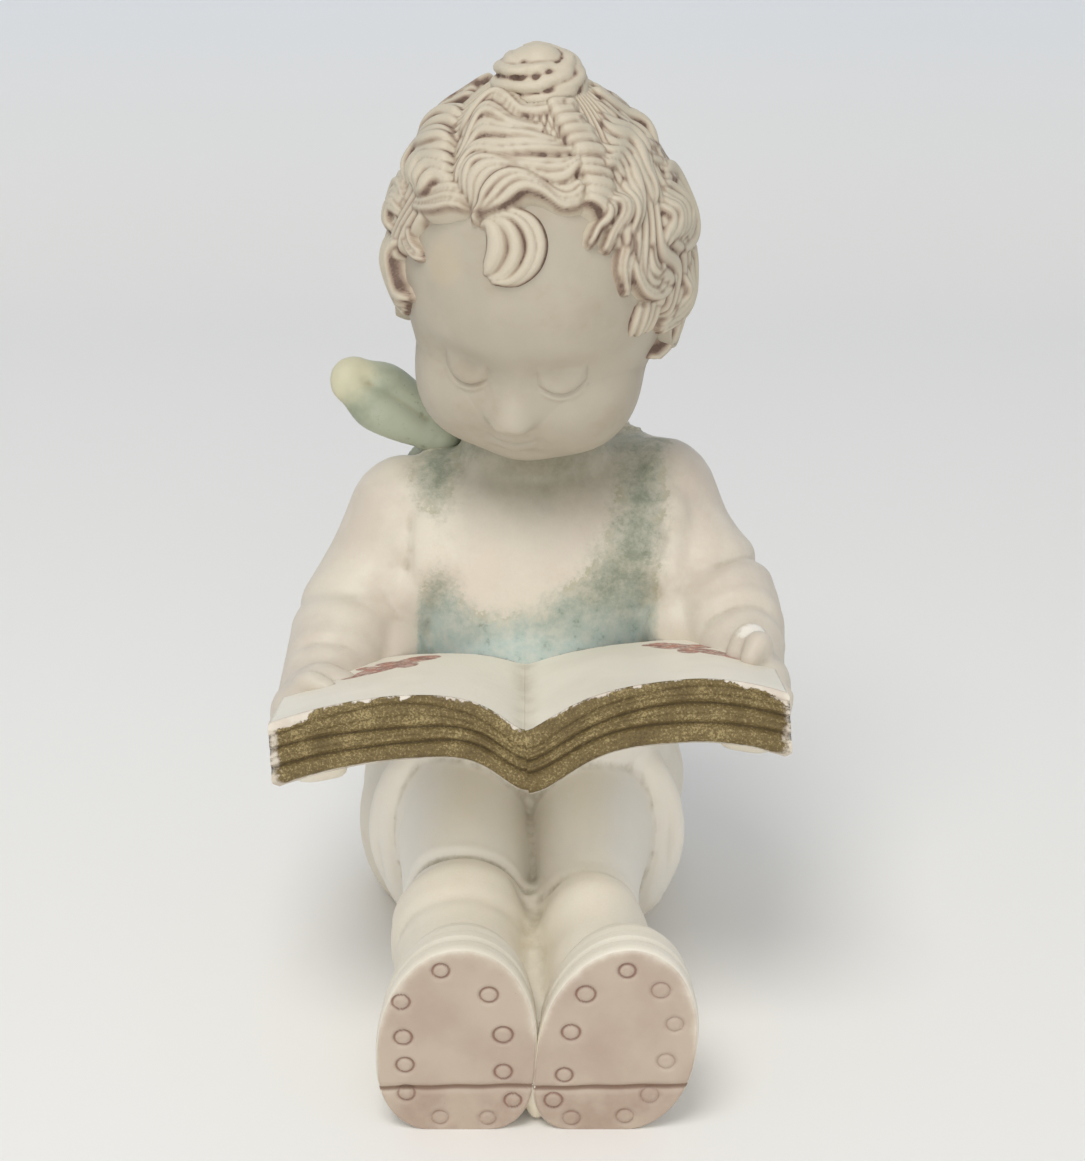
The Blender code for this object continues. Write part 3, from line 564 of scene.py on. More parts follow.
hair = {
    "locks": [
        {"name": "crest", "acrossRails": True, "strands": 16,
         "lift": (1.5, 2.3, 3.0, 2.5, 1.9, 2.3, 1.3), "tip": 0.5,
         "bunches": 5, "wave": (0.032, 2.1, 0.11), "ends": (0.2, 0.4, 0.24, 0.3),
         "guides": [[(-20, 49), (-25, 51), (-33, 54), (-41, 56), (-50, 58), (-62, 60), (-79, 63),
                     (-101, 66)],
                    [(-21, 51), (-25, 53), (-33, 56), (-41, 58), (-50, 61), (-60, 63), (-76, 67),
                     (-100, 70)],
                    [(-14, 57), (-23, 59), (-33, 64), (-46, 67), (-60, 71), (-76, 74), (-94, 77),
                     (-112, 80)],
                    [(2, 62), (-5, 66), (-11, 70), (-17, 73), (-25, 77), (-32, 80), (-40, 84),
                     (-60, 87)],
                    [(23, 56), (27, 63), (30, 68), (34, 72), (39, 76), (46, 80), (60, 84),
                     (100, 87)],
                    [(36, 56), (41, 62), (47, 67), (55, 70), (66, 73), (80, 76), (98, 79),
                     (122, 81)],
                    [(39, 58), (45, 63), (52, 67), (62, 70), (74, 72), (88, 74.5), (106, 76.5),
                     (126, 77)]]},
        {"name": "partingSeam", "acrossRails": True, "strands": 11, "lift": (2.5, 3.2, 2.7, 1.9),
         "tip": 0.6, "ends": (0.2, 0.5, 0.4, 0.4),
         "guides": [[(52, 87), (42, 83), (42, 78), (43, 72), (42, 67), (40, 62), (38, 58)],
                    [(78, 86), (66, 81), (60, 76), (57, 70), (53, 64), (49, 59), (45, 55)],
                    [(104, 83), (88, 78), (78, 73), (70, 67), (63, 61), (57, 56), (49, 51)],
                    [(124, 79), (106, 74), (92, 69), (81, 62), (72, 56), (62, 51), (49, 46)]]},
        {"name": "foreheadCurl", "strands": 4, "lift": (1.0, 1.5, 1.3, 0.7), "tip": 0.5,
         "guides": [[(-20, 51), (-11, 56), (1, 57), (11, 54), (15, 47), (12, 39), (4, 33),
                     (-6, 31)],
                    [(-20, 50), (-13, 53), (-4, 53), (3, 49), (5, 43), (2, 37), (-3, 33), (-9, 32)],
                    [(-20, 49), (-18, 49), (-15, 46), (-14, 42), (-14, 38), (-13, 35)]]},
        {"name": "leftMass", "strands": 13, "lift": (2.6, 3.9, 3.6, 2.1), "tip": 1.0,
         "bunches": 4, "wave": (0.024, 1.6, 0.09),
         "guides": [[(-152, 60), (-140, 58), (-130, 53), (-120, 48), (-112, 42)],
                    [(-134, 60), (-125, 53), (-118, 47), (-112, 42), (-104, 36)],
                    [(-100, 66), (-108, 56), (-110, 46), (-105, 40), (-97, 32)],
                    [(-76, 64), (-90, 57), (-101, 45), (-97, 38), (-89, 35)],
                    [(-57, 61), (-71, 57), (-77, 50), (-75, 45), (-67, 42)],
                    [(-42, 57), (-50, 55), (-55, 51), (-58, 47), (-62, 45)]]},
        {"name": "leftInner", "strands": 5, "lift": (2.0, 2.9, 2.6, 2.0), "tip": 0.8,
         "guides": [[(-29, 52), (-38, 50), (-46, 46), (-56, 42), (-66, 39)],
                    [(-36, 58), (-46, 56), (-52, 53), (-58, 48), (-67, 43)]]},
        {"name": "leftCrescent", "strands": 3, "lift": (0.9, 1.5, 0.9), "tip": 0.5,
         "guides": [[(-57, 44), (-66, 38), (-68, 31), (-61, 26), (-52, 25), (-46, 27)],
                    [(-54, 42), (-60, 37), (-59, 32), (-55, 30), (-50, 30)]]},
        {"name": "leftUpperLobe", "strands": 6, "lift": (2.2, 3.4, 3.5, 2.6), "tip": 1.4,
         "guides": [[(-74, 38), (-92, 36), (-104, 26), (-98, 15), (-84, 14)],
                    [(-74, 34), (-84, 32), (-90, 25), (-86, 19), (-80, 20)],
                    [(-72, 30), (-78, 28), (-81, 26), (-79, 23), (-74, 23)]]},
        {"name": "leftLowerLobe", "strands": 8, "lift": (1.8, 2.7, 2.6, 1.6), "tip": 1.0,
         "wave": (0.02, 1.5, 0.1),
         "guides": [[(-86, 22), (-98, 12), (-98, 2), (-88, -9), (-66, -10)],
                    [(-80, 20), (-88, 12), (-86, 3), (-76, -4), (-58, -3)],
                    [(-74, 22), (-77, 14), (-74, 6), (-65, 2), (-54, 4)],
                    [(-62, 26), (-67, 18), (-63, 12), (-55, 9), (-49, 9)]]},
        {"name": "rightMass", "strands": 14, "lift": (1.7, 2.4, 2.0, 2.8, 2.2, 1.7), "tip": 0.9,
         "bunches": 5, "wave": (0.026, 2.0, 0.08),
         "guides": [[(156, 68), (148, 60), (142, 50), (134, 42), (116, 40)],
                    [(130, 74), (124, 66), (126, 57), (120, 50), (107, 46), (97, 42)],
                    [(106, 74), (104, 67), (108, 60), (101, 54), (93, 48), (82, 42)],
                    [(86, 72), (85, 66), (90, 60), (87, 54), (77, 48), (67, 42)],
                    [(70, 70), (69, 64), (75, 60), (73, 54), (68, 48), (59, 43), (50, 36)],
                    [(57, 67), (57, 62), (63, 57), (63, 51), (57, 46), (46, 39)],
                    [(49, 65), (50, 58), (54, 54), (52, 49), (40, 42)],
                    [(43, 63), (45, 57), (47, 53), (43, 48), (34, 45)]]},
        {"name": "rightTemple", "strands": 4, "lift": (1.2, 1.6, 1.1), "tip": 0.7, "bunches": 1,
         "guides": [[(62, 45), (52, 39), (46, 32), (45, 23)],
                    [(66, 44), (58, 36), (53, 30), (52, 20)]]},
        {"name": "rightCurl", "strands": 4, "lift": (1.5, 1.8, 2.0, 1.6), "tip": 0.7,
         "guides": [[(62, 42), (54, 34), (53, 25), (58, 16), (70, 11), (84, 13)],
                    [(66, 38), (60, 31), (58, 24), (63, 18), (74, 19)],
                    [(72, 34), (66, 30), (66, 25), (72, 24)]]},
        {"name": "rightUpperLobe", "strands": 7, "lift": (2.2, 3.0, 2.9, 1.8), "tip": 1.2,
         "wave": (0.02, 1.5, 0.1),
         "guides": [[(100, 46), (118, 34), (116, 20), (103, 14), (82, 20)],
                    [(94, 44), (104, 34), (101, 24), (84, 23)],
                    [(90, 43), (93, 35), (88, 28), (78, 27)],
                    [(84, 42), (82, 36), (78, 32), (72, 31)]]},
        {"name": "rightLowerLobe", "strands": 6, "lift": (2.0, 2.9, 2.6, 1.4), "tip": 1.0,
         "wave": (0.02, 1.5, 0.1), "guides": [[(104, 14), (106, 0), (96, -10), (76, -12)],
                    [(94, 12), (92, 2), (84, -6), (68, -6)],
                    [(84, 12), (80, 4), (72, -1)]]},
        {"name": "rightNape", "strands": 4, "lift": (2.0, 2.6, 1.6), "tip": 0.7,
         "guides": [[(94, -4), (97, -14), (89, -24), (76, -27)],
                    [(80, -5), (80, -13), (74, -19), (66, -20)]]},
        {"name": "beforeEar", "strands": 4, "lift": (1.0, 1.2, 0.7), "tip": 0.4,
         "guides": [[(54, 14), (50, 8), (49, 2)], [(70, 12), (66, 4), (63, -3)]]},
        {"name": "behindLeftEar", "strands": 4, "lift": (1.8, 2.4, 1.4), "tip": 0.6,
         "guides": [[(-96, 14), (-104, 0), (-100, -14), (-90, -22)],
                    [(-118, 14), (-122, -2), (-116, -18), (-104, -28)]]},
        {"name": "behindRightEar", "strands": 4, "lift": (1.8, 2.4, 1.4), "tip": 0.6,
         "guides": [[(104, 8), (112, -4), (106, -16), (96, -22)],
                    [(122, 12), (126, -4), (120, -20), (110, -28)]]},
    ],
    "roundCurls": [  # middle, turn of the opening, size in degrees, lift
        ((-104, 30), 150, 14, 2.3), ((112, 40), 20, 13, 2.0), ((124, 20), 0, 14, 2.0),
        ((-122, 18), 180, 15, 2.0),
        ((140, -14), 60, 14, 2.1), ((-140, -14), 120, 14, 2.1), ((168, -20), 90, 13, 2.0),
        ((-166, -18), 90, 13, 2.0), ((138, 10), -30, 15, 2.2), ((-138, 10), 210, 15, 2.2),
        ((166, 4), -60, 15, 2.2), ((-162, 6), 240, 15, 2.2)],
    "curlRings": (1.0, 0.72, 0.44, 0.16),
    "backSectors": 8, "back": (108, 256),   # longitudes of the waves on the back of the head
    "ridge": 1.5,               # how far a ridge falls from its top to its sides
    "fall": 2.2,                # slope beyond a ridge's side
    "hairline": [  # longitude and latitude
        (-180, -39), (-140, -35), (-100, -24), (-78, -10), (-66, 10), (-58, 30), (-48, 47),
        (-38, 56), (-20, 60),
        (0, 66), (24, 64), (36, 58), (46, 48), (52, 32), (60, 14), (74, -8), (100, -24),
        (140, -35), (180, -39)],
    "scalp": 1.0,
    "fill": 0.62,               # share of the room between strands that each one takes
    "halfWidth": (0.45, 2.3),   # narrowest and widest
    "knot": (-172, 78),
    "mound": (4.4, 0.41),       # height of the hair under the topknot, and its reach in radians
    "fineStep": 0.6, "wideStep": 1.6,   # degrees between the rows that go out from the topknot
    "nearPole": (0.28, 0.4),    # within these radians of the topknot, strands lose their waves
}


def strandsOf(lock):
    # sample each guide, then read the surface that they span at even shares
    count, points = lock["strands"], 40
    guides = [unit(spline(toward(*np.array(guide, float).T), points)) for guide in lock["guides"]]
    if lock.get("acrossRails"):
        span = np.stack(guides)                                 # rails x share x 3
        rows = span[:, np.linspace(1, points - 2, count).astype(int)]
        return [unit(spline(rows[:, k], points)) for k in range(count)]
    span = unit(spline(np.stack(guides), 61)) if len(guides) > 2 else unit(
        np.stack([guides[0] * (1 - t) + guides[1] * t for t in np.linspace(0, 1, 61)]))
    return [span[int(round((k + 0.5) / count * 60))] for k in range(count)]


def bunched(paths, bunches, wave):
    # sway each path to its sides in waves, then draw the ends of each bunch together;
    # also gives the dome of lift across each bunch
    amount, waves, step = wave
    along = np.linspace(0, 1, len(paths[0]))
    window = np.sqrt(np.sin(math.pi * np.clip(along, 0.02, 0.98)))
    pole = toward(*hair["knot"])
    nearest, fade = hair["nearPole"]
    swayed = []
    for k, path in enumerate(paths):
        calm = smoothStep((np.arccos(np.clip(path @ pole, -1, 1)) - nearest) / fade)
        aside = unit(np.cross(path, np.gradient(path, axis=0)))
        shift = amount * np.sin(2 * math.pi * (waves * along + step * k)) * window * calm
        swayed.append(unit(path + aside * shift[:, None]))
    if not bunches:
        return swayed, [0.0] * len(paths)
    pull = 0.62 * smoothStep((along - 0.5) / 0.5) + 0.25 * smoothStep((0.3 - along) / 0.3)
    result, domes = [], []
    for k, path in enumerate(swayed):
        group = k * bunches // len(paths)
        members = [j for j in range(len(paths)) if j * bunches // len(paths) == group]
        middle = np.mean([swayed[j] for j in members], axis=0)
        result.append(unit(path + (middle - path) * pull[:, None]))
        off = (k - np.mean(members)) / max(len(members) / 2, 1)
        domes.append(0.55 * (1 - off * off) - 0.25)
    return result, domes


def allStrands():
    # every strand with its half width along it, its lift along it and a number of its own
    made = []

    def addLock(paths, lift, tip, bunches=0, wave=(0, 0, 0), ends=(0.14, 0.4, 0.12, 0.8)):
        paths, domes = bunched(paths, bunches, wave)
        for k, path in enumerate(paths):
            near = [np.linalg.norm(path - other, axis=-1) for other in paths if other is not path]
            room = np.min(near, axis=0) * head["radius"] if near else np.full(len(path), 2.6)
            along = np.linspace(0, 1, len(path))
            start, end = smoothStep((along + 0.03) / ends[0]), smoothStep((1.04 - along) / ends[2])
            full = np.minimum(start, end)
            width = (np.clip(room * hair["fill"], *hair["halfWidth"])
                     * (ends[1] + (1 - ends[1]) * start) * (ends[3] + (1 - ends[3]) * end))
            width = width * (1 + 0.12 * math.sin(5.1 * k))
            rise = spline(np.array(lift, float)[:, None], len(path))[:, 0] + domes[k]
            rise = rise + wave[0] * 12 * np.sin(2 * math.pi * (wave[1] * along + wave[2] * k) + 1.2)
            rise = tip + (rise - tip) * full + 0.18 * math.sin(2.4 * k + 1.3 * len(made))
            made.append({"path": path, "width": width, "lift": rise,
                         "tone": math.sin(12.9898 * len(made)) * 0.5})

    for lock in hair["locks"]:
        more = {key: lock[key] for key in ("bunches", "wave", "ends") if key in lock}
        addLock(strandsOf(lock), lock["lift"], lock["tip"], **more)
    for middle, opening, size, lift in hair["roundCurls"]:
        out = toward(*middle)
        east = unit(np.cross((0, 0, 1), out))
        north = np.cross(out, east)
        arcs = []
        for share in hair["curlRings"]:
            sweepTurn = np.radians(opening + np.linspace(25, 330, 40))
            reach = math.radians(size) * share * np.linspace(1.05, 0.8, 40)
            arcs.append(unit(out + (np.cos(sweepTurn) * reach)[:, None] * east
                             + (np.sin(sweepTurn) * reach)[:, None] * north))
        addLock(arcs, (lift * 0.8, lift * 1.1, lift), 0.6)
    edges = np.linspace(*hair["back"], hair["backSectors"] + 1)
    for k in range(hair["backSectors"]):
        left, right = edges[k], edges[k + 1] + 2
        sway = 8 if k % 2 else -8
        guides = [[(side, 66), (side + sway, 50), (side - sway, 34), (side + sway * 0.8, 20),
                   (side, 8)]
                  for side in (left, right)]
        addLock(strandsOf({"strands": 4, "guides": guides}), (1.6, 2.4, 1.8, 2.4, 1.6), 0.8)
    return made


def softened(values, shape):
    # each value takes a half of itself and a half of its neighbours on the grid, both ways
    grid = values.reshape(shape)
    grid = 0.5 * grid + 0.25 * (np.roll(grid, 1, 1) + np.roll(grid, -1, 1))
    return (0.5 * grid + 0.25 * (np.vstack([grid[:1], grid[:-1]])
                                 + np.vstack([grid[1:], grid[-1:]]))).ravel()


def hairForm():
    # the grid's pole is under the topknot; rows go out from it, columns round it
    pole = toward(*hair["knot"])
    front = unit(np.array([0, -1.0, 0]) - pole * (pole @ np.array([0, -1.0, 0])))
    side = np.cross(front, pole)
    around = denser(-180, 180, -112, 112, 0.62, 1.25)
    out = np.radians(denser(3, 132, 3, 118, hair["fineStep"], hair["wideStep"]))
    turn, away = np.meshgrid(np.radians(around), out)
    way = (np.cos(away)[..., None] * pole + (np.sin(away) * np.cos(turn))[..., None] * front
           + (np.sin(away) * np.sin(turn))[..., None] * side)
    flat = way.reshape(-1, 3)
    lon = np.degrees(np.arctan2(flat[:, 0], -flat[:, 1]))
    lat = np.degrees(np.arcsin(flat[:, 2]))
    behind = (lat - np.interp(lon, *np.array(hair["hairline"], float).T)) / 2.0
    # between the locks, low waves run out from the topknot
    phase = 26 * turn.ravel() + 2.4 * np.sin(away.ravel() * 9 + 2 * np.sin(3 * turn.ravel()))
    wave = np.sqrt(np.abs(np.sin(phase)))
    scalp = -1.6 + (hair["scalp"] + 0.9 * wave + 1.6) / (1 + np.exp(-behind))
    best, second = scalp.copy(), np.full(len(flat), -9.0)
    across = 1.0 - 0.45 * wave
    tone = np.zeros(len(flat))
    course = np.zeros((len(flat), 3))
    for number, strand in enumerate(allStrands()):
        path, width, lift = strand["path"], strand["width"], strand["lift"]
        nearest = (flat @ path.T).max(1)
        close = np.nonzero(nearest > math.cos(0.19))[0]
        spots = flat[close]
        index = np.clip((spots @ path.T).argmax(1), 1, len(path) - 2)
        ahead = path[index + 1] - path[index - 1]
        pace = np.linalg.norm(ahead, axis=-1) / 2
        off = spots - path[index]
        slide = np.clip((off * ahead).sum(-1) / (4 * pace * pace), -0.5, 0.5) * 2
        spot = np.clip(index + np.where(np.abs(slide) > 1, 0, slide), 0, len(path) - 1)
        foot = path[index] + ahead * (slide / 2)[:, None]
        distance = np.linalg.norm(spots - foot, axis=-1) * head["radius"]
        half = np.interp(spot, np.arange(len(path)), width)
        share = distance / half
        ridge = hair["ridge"] * np.minimum(half / 1.6, 1.15)
        height = (np.interp(spot, np.arange(len(path)), lift)
                  - ridge * np.minimum(share, 1) ** 2.4
                  - hair["fall"] * np.maximum(distance - half, 0))
        wins = height > best[close]
        second[close] = np.where(wins, best[close], np.maximum(second[close], height))
        won = close[wins]
        best[won] = height[wins]
        across[won] = np.where(share < 1.1, share, np.maximum(1.4 - share * 0.4, 0.45))[wins]
        tone[won] = strand["tone"]
        along = spot[wins] * pace[wins] * head["radius"]
        sign = np.sign((np.cross(ahead, path[index]) * off).sum(-1))[wins]
        course[won] = np.stack([along, sign * distance[wins], np.full(len(won), number * 3.7)], -1)
    groove = smoothStep((across - 0.5) / 0.45)
    groove = np.maximum(groove, smoothStep((0.28 - (best - second)) / 0.28) * 0.85)
    best, groove = softened(best, turn.shape), softened(groove, turn.shape)
    rise, reach = hair["mound"]
    best = best + rise * bump(away.ravel(), reach)
    skin = headSkin(flat) + flat * best[:, None]
    rings = onHead(skin).reshape(way.shape)
    grow = lambda values: np.concatenate([values, [values[0], values[-1]]])
    coursed = np.vstack([course, course[:1], course[-1:]])
    return closedGrid(rings), {"groove": grow(groove), "lockTone": grow(tone), "course": coursed}


# Topknot: short locks wound round a core, level by level, under one smooth roll

topknot = {
    "voxel": 0.32, "smoothing": 2,
    # lift from the skull's middle, radius
    "core": [(22, 5.1), (26, 5.0), (29, 4.7), (31.2, 3.7)],
    "levels": [  # radius of the winding, lift and half thickness
        (5.7, 28.0, 0.95), (5.6, 29.3, 0.95), (5.3, 30.5, 0.95), (4.7, 31.6, 0.9),
        (3.7, 32.5, 0.9)],
    "cap": (33.2, (3.2, 2.7, 1.2)),
    "pits": [(-125, 31.2), (-104, 30.6), (-84, 31.4), (-66, 30.4), (-48, 31.2), (-150, 31.0),
             (-20, 31.2), (80, 31.0)],
}


def topknotForm():
    knot = toward(*hair["knot"])
    east = unit(np.cross((0, 1, 0), knot))
    north = np.cross(knot, east)
    core = [(*onHead(knot * lift), wide, wide) for lift, wide in topknot["core"]]
    skins = [limb(core, 16, 32, (0, -1, 0.2))]
    for level, (wide, lift, width) in enumerate(topknot["levels"]):
        for arc in range(4):
            turn = np.radians(93 * arc + 47 * level + np.linspace(0, 125, 40))
            along = np.linspace(0, 1, 40)
            rise = lift + 1.6 * (along - 0.5) + 0.3 * math.sin(2.1 * arc + level)
            path = (knot * rise[:, None] + (wide + 0.5 * np.sin(along * 3.1))[:, None]
                    * (np.cos(turn)[:, None] * east + 0.9 * np.sin(turn)[:, None] * north))
            half = width * (0.35 + 0.65 * np.minimum(smoothStep(along / 0.25),
                                                     smoothStep((1 - along) / 0.3)))
            skins.append(sweep(onHead(path), half, half * 0.9,
                               np.tile(head["turn"] @ knot, (40, 1)), 20))
    lift, radii = topknot["cap"]
    frameOf = head["turn"] @ np.stack([east, north, knot], -1)
    skins.append(ball(onHead(knot * lift + east * -0.6), radii, frameOf))
    points, quads, fans = fused(skins, topknot["voxel"], topknot["smoothing"])
    normals = normalsOf(points, quads, fans)
    for turn, lift in topknot["pits"]:
        spot = onHead(knot * lift
                      + 4.6 * (math.cos(math.radians(turn)) * east
                               + math.sin(math.radians(turn)) * north))
        dent = 0.8 * bump(np.linalg.norm(points - spot, axis=-1), 0.6)
        points = points - normals * dent[:, None]
    hollow = hollowness(points, quads, fans, 8)
    groove = np.clip(hollow * 13 + 0.16, 0, 1)
    return (points, quads, fans), {"groove": groove, "lockTone": groove * 0, "course": points * 0.5}


# Body: limbs and balls melted together, then folds carved along measured lines

body = {
    "voxel": 0.62, "smoothing": 6,
    "trunk": [(-1.5, 7, 10, 23.5, 22), (-1, 5, 26, 22.5, 20.5), (0, 2, 42, 19.8, 16.5),
              (0, 1, 56, 19.2, 14.5), (0, 2, 66, 18, 13), (0, 3, 73, 12.5, 10)],
    "neck": [(0, 3, 70, 9.5, 9.5), (-0.5, 0, 88, 9, 9)],
    "rounds": [  # middle and radii of the belly and the seat
        ((0, -6, 38), (19.2, 13.5, 17)), ((-3, 9, 17), (25.5, 23, 18.5)),
        ((-16, 5, 12.5), (13, 18.5, 16)), ((9.5, 5, 20), (14.2, 18.5, 14))],
    "betweenLegs": [(-1.2, -34, 10, 6.0, 9.8), (-0.9, -48, 9.5, 5.8, 9.0),
                    (-0.3, -60, 8.5, 5.0, 8.4), (0, -68.4, 8.5, 2.4, 7.8)],
    "shoulder": (9.5, 9, 8.5), "armpit": (5.5, 7.5, 6.5),
    # y, lift and radii
    "sleeveRounds": [(-4.6, 3.0, (5.0, 6.8, 8.4)), (-2.9, 11.0, (4.0, 6.0, 7.0))],
    "cuffWidth": 2.5, "wrist": 5.8,
    "legs": {
        -1: [(-12.0, 4, 17, 11.6, 14.5), (-11.2, -14, 17.5, 10.4, 13.8),
             (-10.7, -28, 17, 9.7, 13.4),
             (-10.6, -37.5, 15, 9.2, 12.2), (-10.9, -43.5, 14.4, 10.3, 12.7),
             (-10.9, -49.5, 13.8, 9.7, 11.9),
             (-10.9, -55, 13.5, 9.6, 11.6), (-11, -61, 13.5, 9.0, 10.8)],
        1: [(9.0, 4, 17, 11.0, 14.5), (8.0, -14, 17.5, 9.4, 13.8), (7.5, -28, 17, 8.0, 13.2),
            (7.7, -40.0, 15, 7.5, 11.9), (8.1, -45.5, 14.4, 8.5, 12.5),
            (8.7, -51.5, 13.8, 8.1, 11.7),
            (9.0, -56, 13.5, 8.4, 11.3), (9.6, -61, 13.5, 8.6, 10.8)]},
    "cuffs": {-1: (-12.2, 11.8), 1: (9.6, 11.0)},
    "arms": {
        -1: [(-19.9, 2, 65.5, 9.4), (-23.6, 0, 58.5, 8.8), (-27.9, -5, 51.5, 8.9),
             (-29.8, -12, 49.0, 8.2)],
        1: [(18.6, 2, 68.6, 9.2), (22.2, 0, 61.8, 8.6), (27.0, -5, 55.8, 8.7),
            (29.4, -12, 53.2, 8.0)]},
    "folds": [  # a line of places, depth and width of the fold pressed in along it
        ([(-21.8, -35.5, 12), (-20.6, -35.6, 18.5), (-17.7, -36.6, 24.0), (-12.6, -38.8, 26.6),
          (-7.6, -38.9, 26.1), (-3.8, -37.6, 23.5), (-1.6, -36.2, 19.0)], 1.0, 0.75),
        ([(-20.8, -47.0, 16.5), (-17.4, -48.4, 22.0), (-12.3, -49.4, 24.6), (-6.8, -48.8, 23.4),
          (-3.0, -47.0, 19.6)], 0.6, 1.1),
        ([(16.5, -38.0, 13), (15.4, -39.4, 19.0), (12.4, -42.0, 23.4), (8.5, -43.4, 25.2),
          (3.6, -41.6, 23.6), (0.9, -38.8, 20.4)], 0.9, 0.75),
        ([(16.4, -50.5, 16.0), (13.2, -51.0, 21.4), (8.4, -51.4, 23.6), (3.8, -50.4, 21.0)], 0.35,
         0.9),
        ([(-21.6, -41.5, 14), (-18.6, -42.0, 21.5), (-12.2, -42.8, 25.6), (-6.2, -42.2, 24.6),
          (-2.4, -40.8, 20)], -0.8, 2.3),
        ([(15.4, -45.0, 21), (9.0, -47.4, 24.4), (3.2, -46.0, 21.6)], -0.6, 2.6),
        ([(24.8, -11.8, 60.2), (28.6, -10.2, 62.0), (33.0, -5.8, 61.2), (35.6, 0.5, 57.0)],
         0.9, 1.3),
        ([(24.0, -18.4, 53.4), (26.4, -18.8, 56.4), (29.6, -18.4, 58.2), (33.4, -17.4, 57.2),
          (36.4, -16.4, 53.6)],
         0.85, 1.1),
        ([(-24.6, -12.4, 57.2), (-29.0, -12.0, 57.6), (-34.0, -9.0, 55.4), (-37.4, -4.0, 50.0)],
         0.7, 1.5),
        ([(-25.8, -19.4, 49.6), (-28.4, -20.6, 52.6), (-32.2, -20.6, 53.6), (-35.8, -19.4, 51.4)],
         0.55, 0.8),
        ([(-24.6, -11.5, 27), (-25.6, -12.2, 18), (-24.6, -12, 7)], 0.8, 1.2),
        ([(-20.6, -13.5, 29), (-21.8, -14.8, 20), (-21.4, -14.5, 9)], 0.6, 1.1),
        ([(19.4, -11.5, 29), (20.8, -12.2, 19), (20.2, -12, 8)], 0.8, 1.2),
        ([(18.6, -11.6, 48), (18.6, -11.0, 56), (19.2, -8.6, 64), (19.9, -3.8, 72), (19.6, 4, 76),
          (19.4, 12, 70), (19.6, 15, 60)], 0.35, 1.2),
        ([(-19.2, -11.6, 46), (-19.5, -9.8, 56), (-19.2, -8.4, 63), (-19.2, -4.8, 69),
          (-19.6, 4, 74), (-19.8, 12, 66), (-20, 15, 56)], 0.15, 1.4),
    ],
    "chip": ((31.8, -26.8, 57.2), 2.8),     # where the hand is knocked and the white resin shows
    "blot": (14.9, -16.2, 29.0),            # a spot of red paint on the cuff at +X
    # painted shade under the chin, round this point
    "underChin": (1.5, -6.0, 77.0),
    "chestOpening": [(-12.6, 70), (-12.2, 65.3), (-11.3, 57.2), (-9.0, 54.9), (-5.0, 55.1),
                     (-0.9, 55.8), (4.2, 59.4),
                     (8.3, 62.8), (10.2, 66.4), (11.6, 70.0), (12.4, 76.0), (0, 84), (-11.0, 76)],
    "bib": [(-19.4, 30), (-19.5, 50), (-19.4, 58), (-18.8, 64.0), (-17.6, 67.5), (-19.0, 72),
            (-19, 88), (19.6, 88), (19.8, 74), (19.0, 64.5), (18.2, 53.6), (18.2, 30)],
}

openBook = {
    "middle": (-0.9, -34.6, 47.2), "turn": turned(pitch=-13.0, roll=-3.4),
    "width": 72.5, "depth": 36.0, "thickness": 9.2, "swell": 2.8, "gutter": 3.6, "gutterAt": -0.02,
    "crest": (-0.45, 0.6), "lip": 0.5, "coverInset": 0.9,
    "rowsAcross": 121, "rowsInGutter": 61, "rowsBack": 141, "rowsUp": 71,
    # how high each line between the leaves runs, at shares of the thickness, and its depth
    "leafLines": [
        ([(-1, 0.78), (-0.72, 0.82), (-0.45, 0.87), (0, 0.70), (0.3, 0.8), (0.6, 0.87), (1, 0.84)],
         0.38, 0.030),
        ([(-1, 0.56), (-0.45, 0.50), (0, 0.53), (0.3, 0.56), (0.6, 0.62), (1, 0.60)], 0.8, 0.042),
        ([(-1, 0.27), (-0.45, 0.27), (0, 0.34), (0.3, 0.33), (0.6, 0.31), (1, 0.33)], 0.8, 0.042),
        ([(-1, 0.66), (-0.5, 0.68), (-0.1, 0.62), (0.25, 0.69), (0.6, 0.77), (1, 0.73)], 0.25,
         0.022),
        ([(-1, 0.41), (-0.5, 0.38), (0, 0.43), (0.3, 0.45), (0.6, 0.46), (1, 0.46)], 0.2, 0.022)],
}


def atBookEdge(side, back, over):
    spot = np.array([side * openBook["width"] / 2, back, over])
    return openBook["turn"] @ spot + np.array(openBook["middle"])


hands = {  # places are given from the middle of the book's end: back along it and up from it
    "palm": (6.0, 1.5), "palmRadii": (4.8, 6.4, 5.2), "palmInward": 2.6,
    # thumb and finger: back, reach and thickness
    "onPage": [(7.5, 9.5, 2.5), (3.2, 7.0, 2.0)],
    "reach": {-1: 1.0, 1: 0.58}, "lift": {-1: 0.0, 1: 1.7},     # at +X they are shorter and higher
    "under": 3, "underStart": 8.0, "underGap": 3.6,     # fingers round the book's lower edge
}


